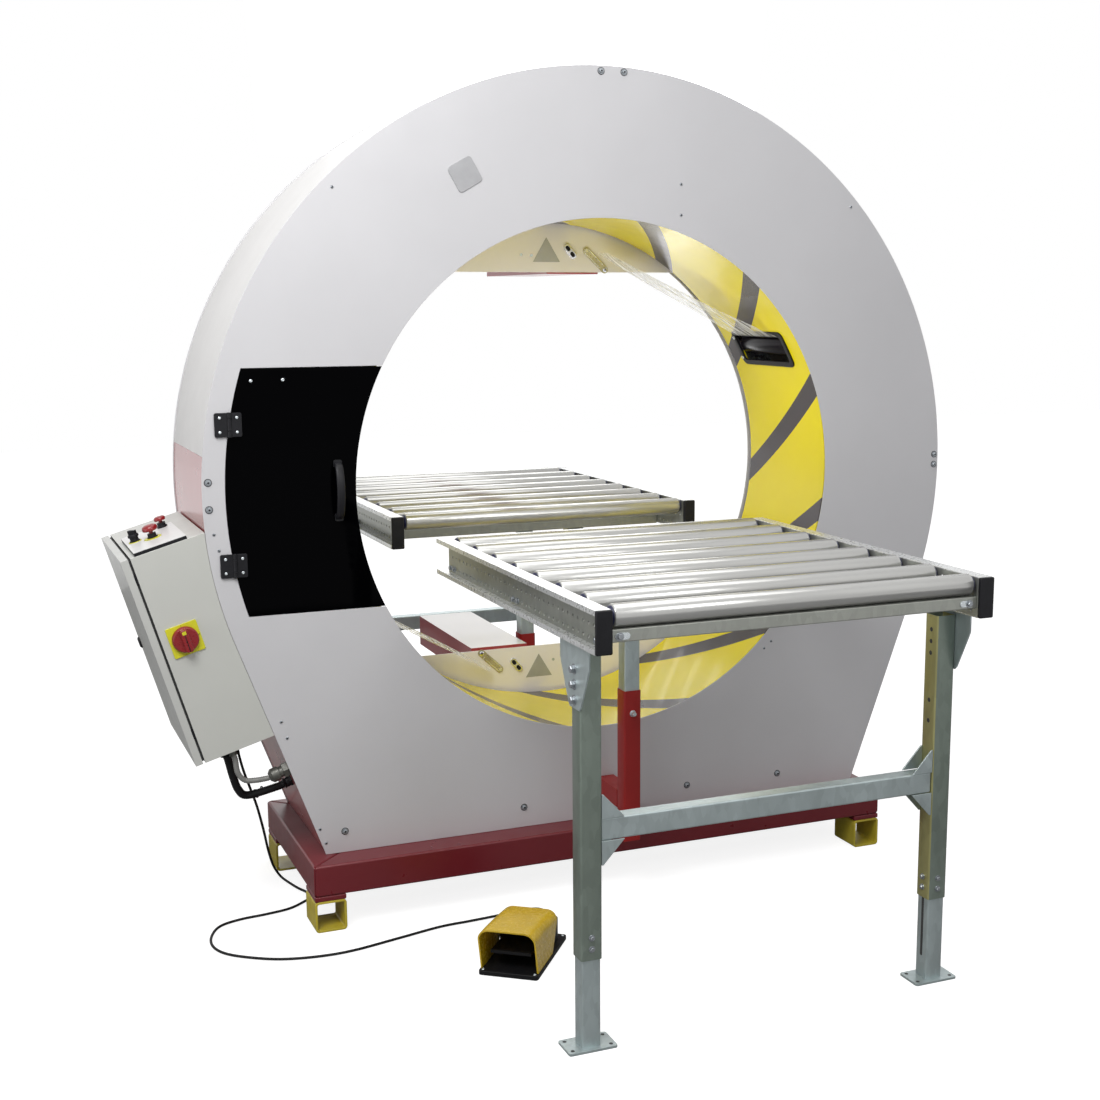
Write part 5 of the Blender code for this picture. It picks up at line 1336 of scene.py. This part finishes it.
def bracket(bm, side, leg_y):
    """Flat plate from the rail down to the leg, narrowing towards the leg."""
    outer = LEG_X + 0.0245
    outline = [(-0.080, RAIL_LOW + 0.0015), (0.080, RAIL_LOW + 0.0015), (0.080, RAIL_LOW - 0.045),
               (0.072, RAIL_LOW - 0.062), (0.034, 0.783), (0.026, 0.775), (-0.026, 0.775), (-0.034, 0.783),
               (-0.072, RAIL_LOW - 0.062), (-0.080, RAIL_LOW - 0.045)]
    edges = sorted((side * outer, side * (outer + 0.004)))
    plate_x(bm, outline, *edges, Matrix.Translation((0, leg_y, 0)))


def gusset(bm, side, leg_y, z, up):
    """Flat triangular plate between the cross tube and a leg."""
    inner = side * (LEG_X - 0.025)
    back = side * (LEG_X - 0.025 - 0.055)
    points = [(inner, z), (back, z), (inner - side * 0.004, z + up * 0.055), (inner, z + up * 0.055)]
    prism(bm, points, leg_y - 0.0235, leg_y - 0.0195)
    prism(bm, points, leg_y + 0.0195, leg_y + 0.0235)


def make_table_frame(name, body, out, at):
    """What stands under the rails: cross bars, post tube, legs, brackets and bolts."""
    bars, legs, washers, plates, holes, bolts = (bmesh.new() for _ in range(6))
    post_y = -POST_OUT if out < 0 else DEPTH + POST_OUT
    leg_y = at(TABLE_LEN - LEG_IN)
    low_end = RAIL_LOW + END_BAR_LIFT
    for bar_y, low_z in ((at(TABLE_LEN - INSET), low_end), (post_y, RAIL_LOW - 0.002)):
        box(bars, -WEB_IN + 0.0002, WEB_IN - 0.0002, bar_y - 0.020, bar_y + 0.020, low_z, low_z + 0.028)
    piece(f"{name}_cross_bars", bars, "galvanised", body, bevel=0.0025, segments=3)
    bm = tube(bmesh.new(), 0.0, post_y, INNER_TUBE, 0.350, RAIL_LOW - 0.0021)
    piece(f"{name}_post_tube", bm, "galvanised_bright", body, bevel=0.0004)
    bar_face = at(TABLE_LEN - INSET) + out * 0.020
    washer_face = bar_face + out * 0.0022
    bolt_z = low_end + 0.013
    for side, word in ((-1, "left"), (1, "right")):
        outward, inward = (side, 0, 0), (-side, 0, 0)
        inner_face = side * (LEG_X - LEG / 2)
        tube(legs, side * LEG_X, leg_y, LEG, 0.210, 0.905, 0.005)
        bracket(plates, side, leg_y)
        gusset(plates, side, leg_y, LEG_TIE[1], 1)
        gusset(plates, side, leg_y, LEG_TIE[0], -1)
        make_lower_leg(name, word, side, leg_y)
        # Thin black discs stand for the holes in the legs' inner faces: painted shade in the holes.
        for z in (0.870, 0.842, 0.814, 0.700, 0.650):
            rod(holes, (inner_face, leg_y, z), inward, 0.0054, 0.0, 0.0003, 20)
        for d in (0.020, 0.049, 0.497, 0.526, TABLE_LEN - 0.078, TABLE_LEN - 0.049):
            hexbolt(bolts, (side * (WEB_IN + RAIL_T), at(d), HOLE_ROWS[0][0]), outward, 0.0065, 0.0085, 0.005)
        for z in (0.862, 0.828, 0.794):
            hexbolt(bolts, (side * (LEG_X + 0.0285), leg_y, z), outward, 0.0088, 0.0118, 0.009)
        for z in (0.236, 0.262):
            hexbolt(bolts, (side * LEG_X, leg_y - LEG / 2, z), (0, -1, 0), 0.0055, 0.0075, 0.005)
            hexbolt(bolts, (inner_face, leg_y, z), inward, 0.0055, 0.0075, 0.005)
        x0, x1 = sorted((side * 0.442, side * 0.408))
        prism(washers, rounded(x0, x1, bolt_z - 0.0075, bolt_z + 0.0075, 0.0074, 8), bar_face, washer_face)
        hexbolt(bolts, (side * 0.432, washer_face, bolt_z), (0, out, 0), 0.0065, 0.0090, 0.005)
    tubes = piece(f"{name}_leg_tubes", legs, "galvanised_leg", body, bevel=0.0004)
    # Faces of the right legs turned towards -x get the lighter, yellower look: painted warm light on that side.
    second_look(tubes, "galvanised_painted_warm_light", lambda face: face.center.x > 0 and face.normal.x < -0.5)
    piece(f"{name}_bar_washers", washers, "zinc", body, bevel=0.0004)
    piece(f"{name}_brackets", plates, "galvanised_bright", body, bevel=0.0008)
    piece(f"{name}_leg_hole_painted_shade", holes, "gasket", body, bevel=0.0001)
    inner = LEG_X - LEG / 2 - 0.0002
    bm = box(bmesh.new(), -inner, inner, leg_y - 0.020, leg_y + 0.020, *LEG_TIE)
    piece(f"{name}_cross_tube", bm, "galvanised_bright", body, bevel=0.004, segments=3)
    piece(f"{name}_bolts", bolts, "bolt", body, bevel=0.0004)


def make_lower_leg(name, word, side, leg_y):
    """The leg's inner tube on its foot plate, with dark discs and a dark strip where its holes and slot are:
    painted shade in the openings.
    """
    x = side * LEG_X
    half_x, half_y = 0.058, 0.0365
    bm = tube(bmesh.new(), x, leg_y, INNER_TUBE, 0.0055, 0.450)
    slab(bm, rounded(x - half_x, x + half_x, leg_y - half_y, leg_y + half_y, 0.006, 4), 0.0, 0.006)
    piece(f"{name}_lower_leg_{word}", bm, "galvanised_bright", f"{name}_feet", bevel=0.0005,
          replaces=(f"{name}_leg_{word}",))
    # Thin black discs on the foot plate and a black strip on the inner tube stand for holes and a slot: painted
    # shade.
    holes = bmesh.new()
    for dx in (-0.046, 0.046):
        for dy in (-0.024, 0.024):
            rod(holes, (x + dx, leg_y + dy, 0.006), (0, 0, 1), 0.0045, 0.0, 0.0004, 20)
    slot_x = x - side * INNER_TUBE / 2
    plate_x(holes, rounded(-0.0045, 0.0045, 0.060, 0.345, 0.0044), *sorted((slot_x, slot_x - side * 0.0004)),
            Matrix.Translation((0, leg_y, 0)))
    piece(f"{name}_foot_holes_{word}", holes, "gasket", f"{name}_feet", bevel=0.0001)


# ------------------------------------------------------------------ build
make_materials()
make_camera()
make_cords()
make_grey_conduit()
make_panels()
make_panel_bolts()
make_base()
make_ring()
make_film()
make_trays()
make_door()
make_cabinet()
make_pedal()
make_table("near", -0.005, -1)
make_table("far", 0.4235, 1)


# ------------------------------------------------------------------ CAD nodes that stay
def dress(node, material):
    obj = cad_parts[node]
    obj.data.materials.clear()
    obj.data.materials.append(MATS[material])
    edge = obj.modifiers.new("bevel", "BEVEL")
    edge.width = 0.001
    edge.segments = 2
    edge.limit_method = "ANGLE"
    edge.angle_limit = math.radians(32)


for number in (1, 2, 3):
    dress(f"support_roller_{number}", "rubber")
dress("drive_wheel", "rubber")
dress("drive_motor", "motor")
for letter in "ab":
    dress(f"reel_carriage_{letter}", "zinc")
    dress(f"film_reel_{letter}", "film_roll")


# ------------------------------------------------------------------ floor, lights and world
def area_light(name, spot, target, size, power, seen=True):
    data = bpy.data.lights.new(name, "AREA")
    data.shape = "RECTANGLE"
    data.size, data.size_y = size
    data.energy = power
    obj = add_object(name, data, ORIGIN + Vector(spot))
    way = Vector(target) - Vector(spot)
    obj.visible_camera = seen
    obj.rotation_mode = "QUATERNION"
    obj.rotation_quaternion = way.to_track_quat("-Z", "Y")


def make_stage():
    bm = bmesh.new()
    bmesh.ops.create_grid(bm, x_segments=8, y_segments=8, size=14.0)
    mesh = bpy.data.meshes.new("floor")
    bm.to_mesh(mesh)
    bm.free()
    floor = add_object("floor", mesh, (0, 0, -0.0004))
    mesh.materials.append(make_floor_paper())
    make_world()


def make_floor_paper():
    """Matt grey paper that glows where it is seen directly or, far off, in a reflection."""
    material = bpy.data.materials.new("floor_paper")
    material.use_nodes = True
    nodes = Nodes(material.node_tree)
    shader = material.node_tree.nodes["Principled BSDF"]
    speck = nodes.noise(nodes.coords(), 40.0, 4.0)
    nodes.feed(shader, {"Base Color": nodes.mix(speck, (0.36, 0.36, 0.36, 1.0), (0.39, 0.39, 0.39, 1.0)),
                        "Roughness": 0.9, "Specular IOR Level": 0.1})
    distance = nodes.add("VectorMath", {0: nodes.coords()}, operation="LENGTH").outputs["Value"]
    strength = nodes.spread(distance, 0.86, 1.0, 2.5, 7.0)
    glow = nodes.add("Emission", {"Color": (1, 1, 1, 1), "Strength": strength}).outputs[0]
    both = nodes.add("AddShader", {0: shader.outputs[0], 1: glow}).outputs[0]
    ray = nodes.add("LightPath").outputs
    far = nodes.math("MULTIPLY", ray["Is Glossy Ray"], nodes.math("GREATER_THAN", distance, 4.5))
    direct = nodes.math("MAXIMUM", ray["Is Camera Ray"], ray["Is Transmission Ray"])
    seen = nodes.math("MAXIMUM", far, direct)
    pick = nodes.add("MixShader", {0: seen, 1: shader.outputs[0], 2: both}).outputs[0]
    nodes.feed(material.node_tree.nodes["Material Output"], {"Surface": pick})
    return material


def make_world():
    """White where it is seen, dim where it lights."""
    world = bpy.data.worlds.new("studio")
    bpy.context.scene.world = world
    world.use_nodes = True
    nodes = Nodes(world.node_tree)
    white = world.node_tree.nodes["Background"]
    nodes.feed(white, {"Color": (1, 1, 1, 1), "Strength": 1.0})
    dim = nodes.add("Background", {"Color": (0.98, 0.98, 1.0, 1), "Strength": 0.12})
    ray = nodes.add("LightPath").outputs
    seen = nodes.math("MAXIMUM", ray["Is Camera Ray"],
                      nodes.math("MAXIMUM", ray["Is Glossy Ray"], ray["Is Transmission Ray"]))
    pick = nodes.add("MixShader", {0: seen, 1: dim.outputs[0], 2: white.outputs[0]}).outputs[0]
    nodes.feed(world.node_tree.nodes["World Output"], {"Surface": pick})


def make_lights():
    area_light("key", (-2.0, -1.9, 3.3), (-0.7, 0, 1.9), (1.6, 1.6), 88)
    area_light("front", (0.2, -4.0, 3.2), (0, 0, 1.9), (1.4, 1.4), 40)
    area_light("side", (-4.6, -1.0, 1.0), (-1.0, 0, 1.0), (2.0, 2.0), 24)
    area_light("card", (0.95, 3.5, 0.05), (0.4, 0.3, 1.7), (1.5, 1.3), 9, seen=False)
    area_light("tunnel", (0.0, 0.02, 1.12), (0.05, 0.42, 1.80), (0.8, 0.2), 2.6, seen=False)
    area_light("right", (4.2, -3.2, 3.4), (0, 0, 1.0), (3.0, 3.0), 8)
    area_light("top", (0.3, 0.2, 5.6), (0, 0.1, 0.8), (4.0, 4.0), 120)
    area_light("back", (1.5, 4.8, 3.6), (0, 0.2, 1.0), (3.0, 2.5), 80)


make_stage()
make_lights()
bpy.context.scene.view_settings.view_transform = "Standard"
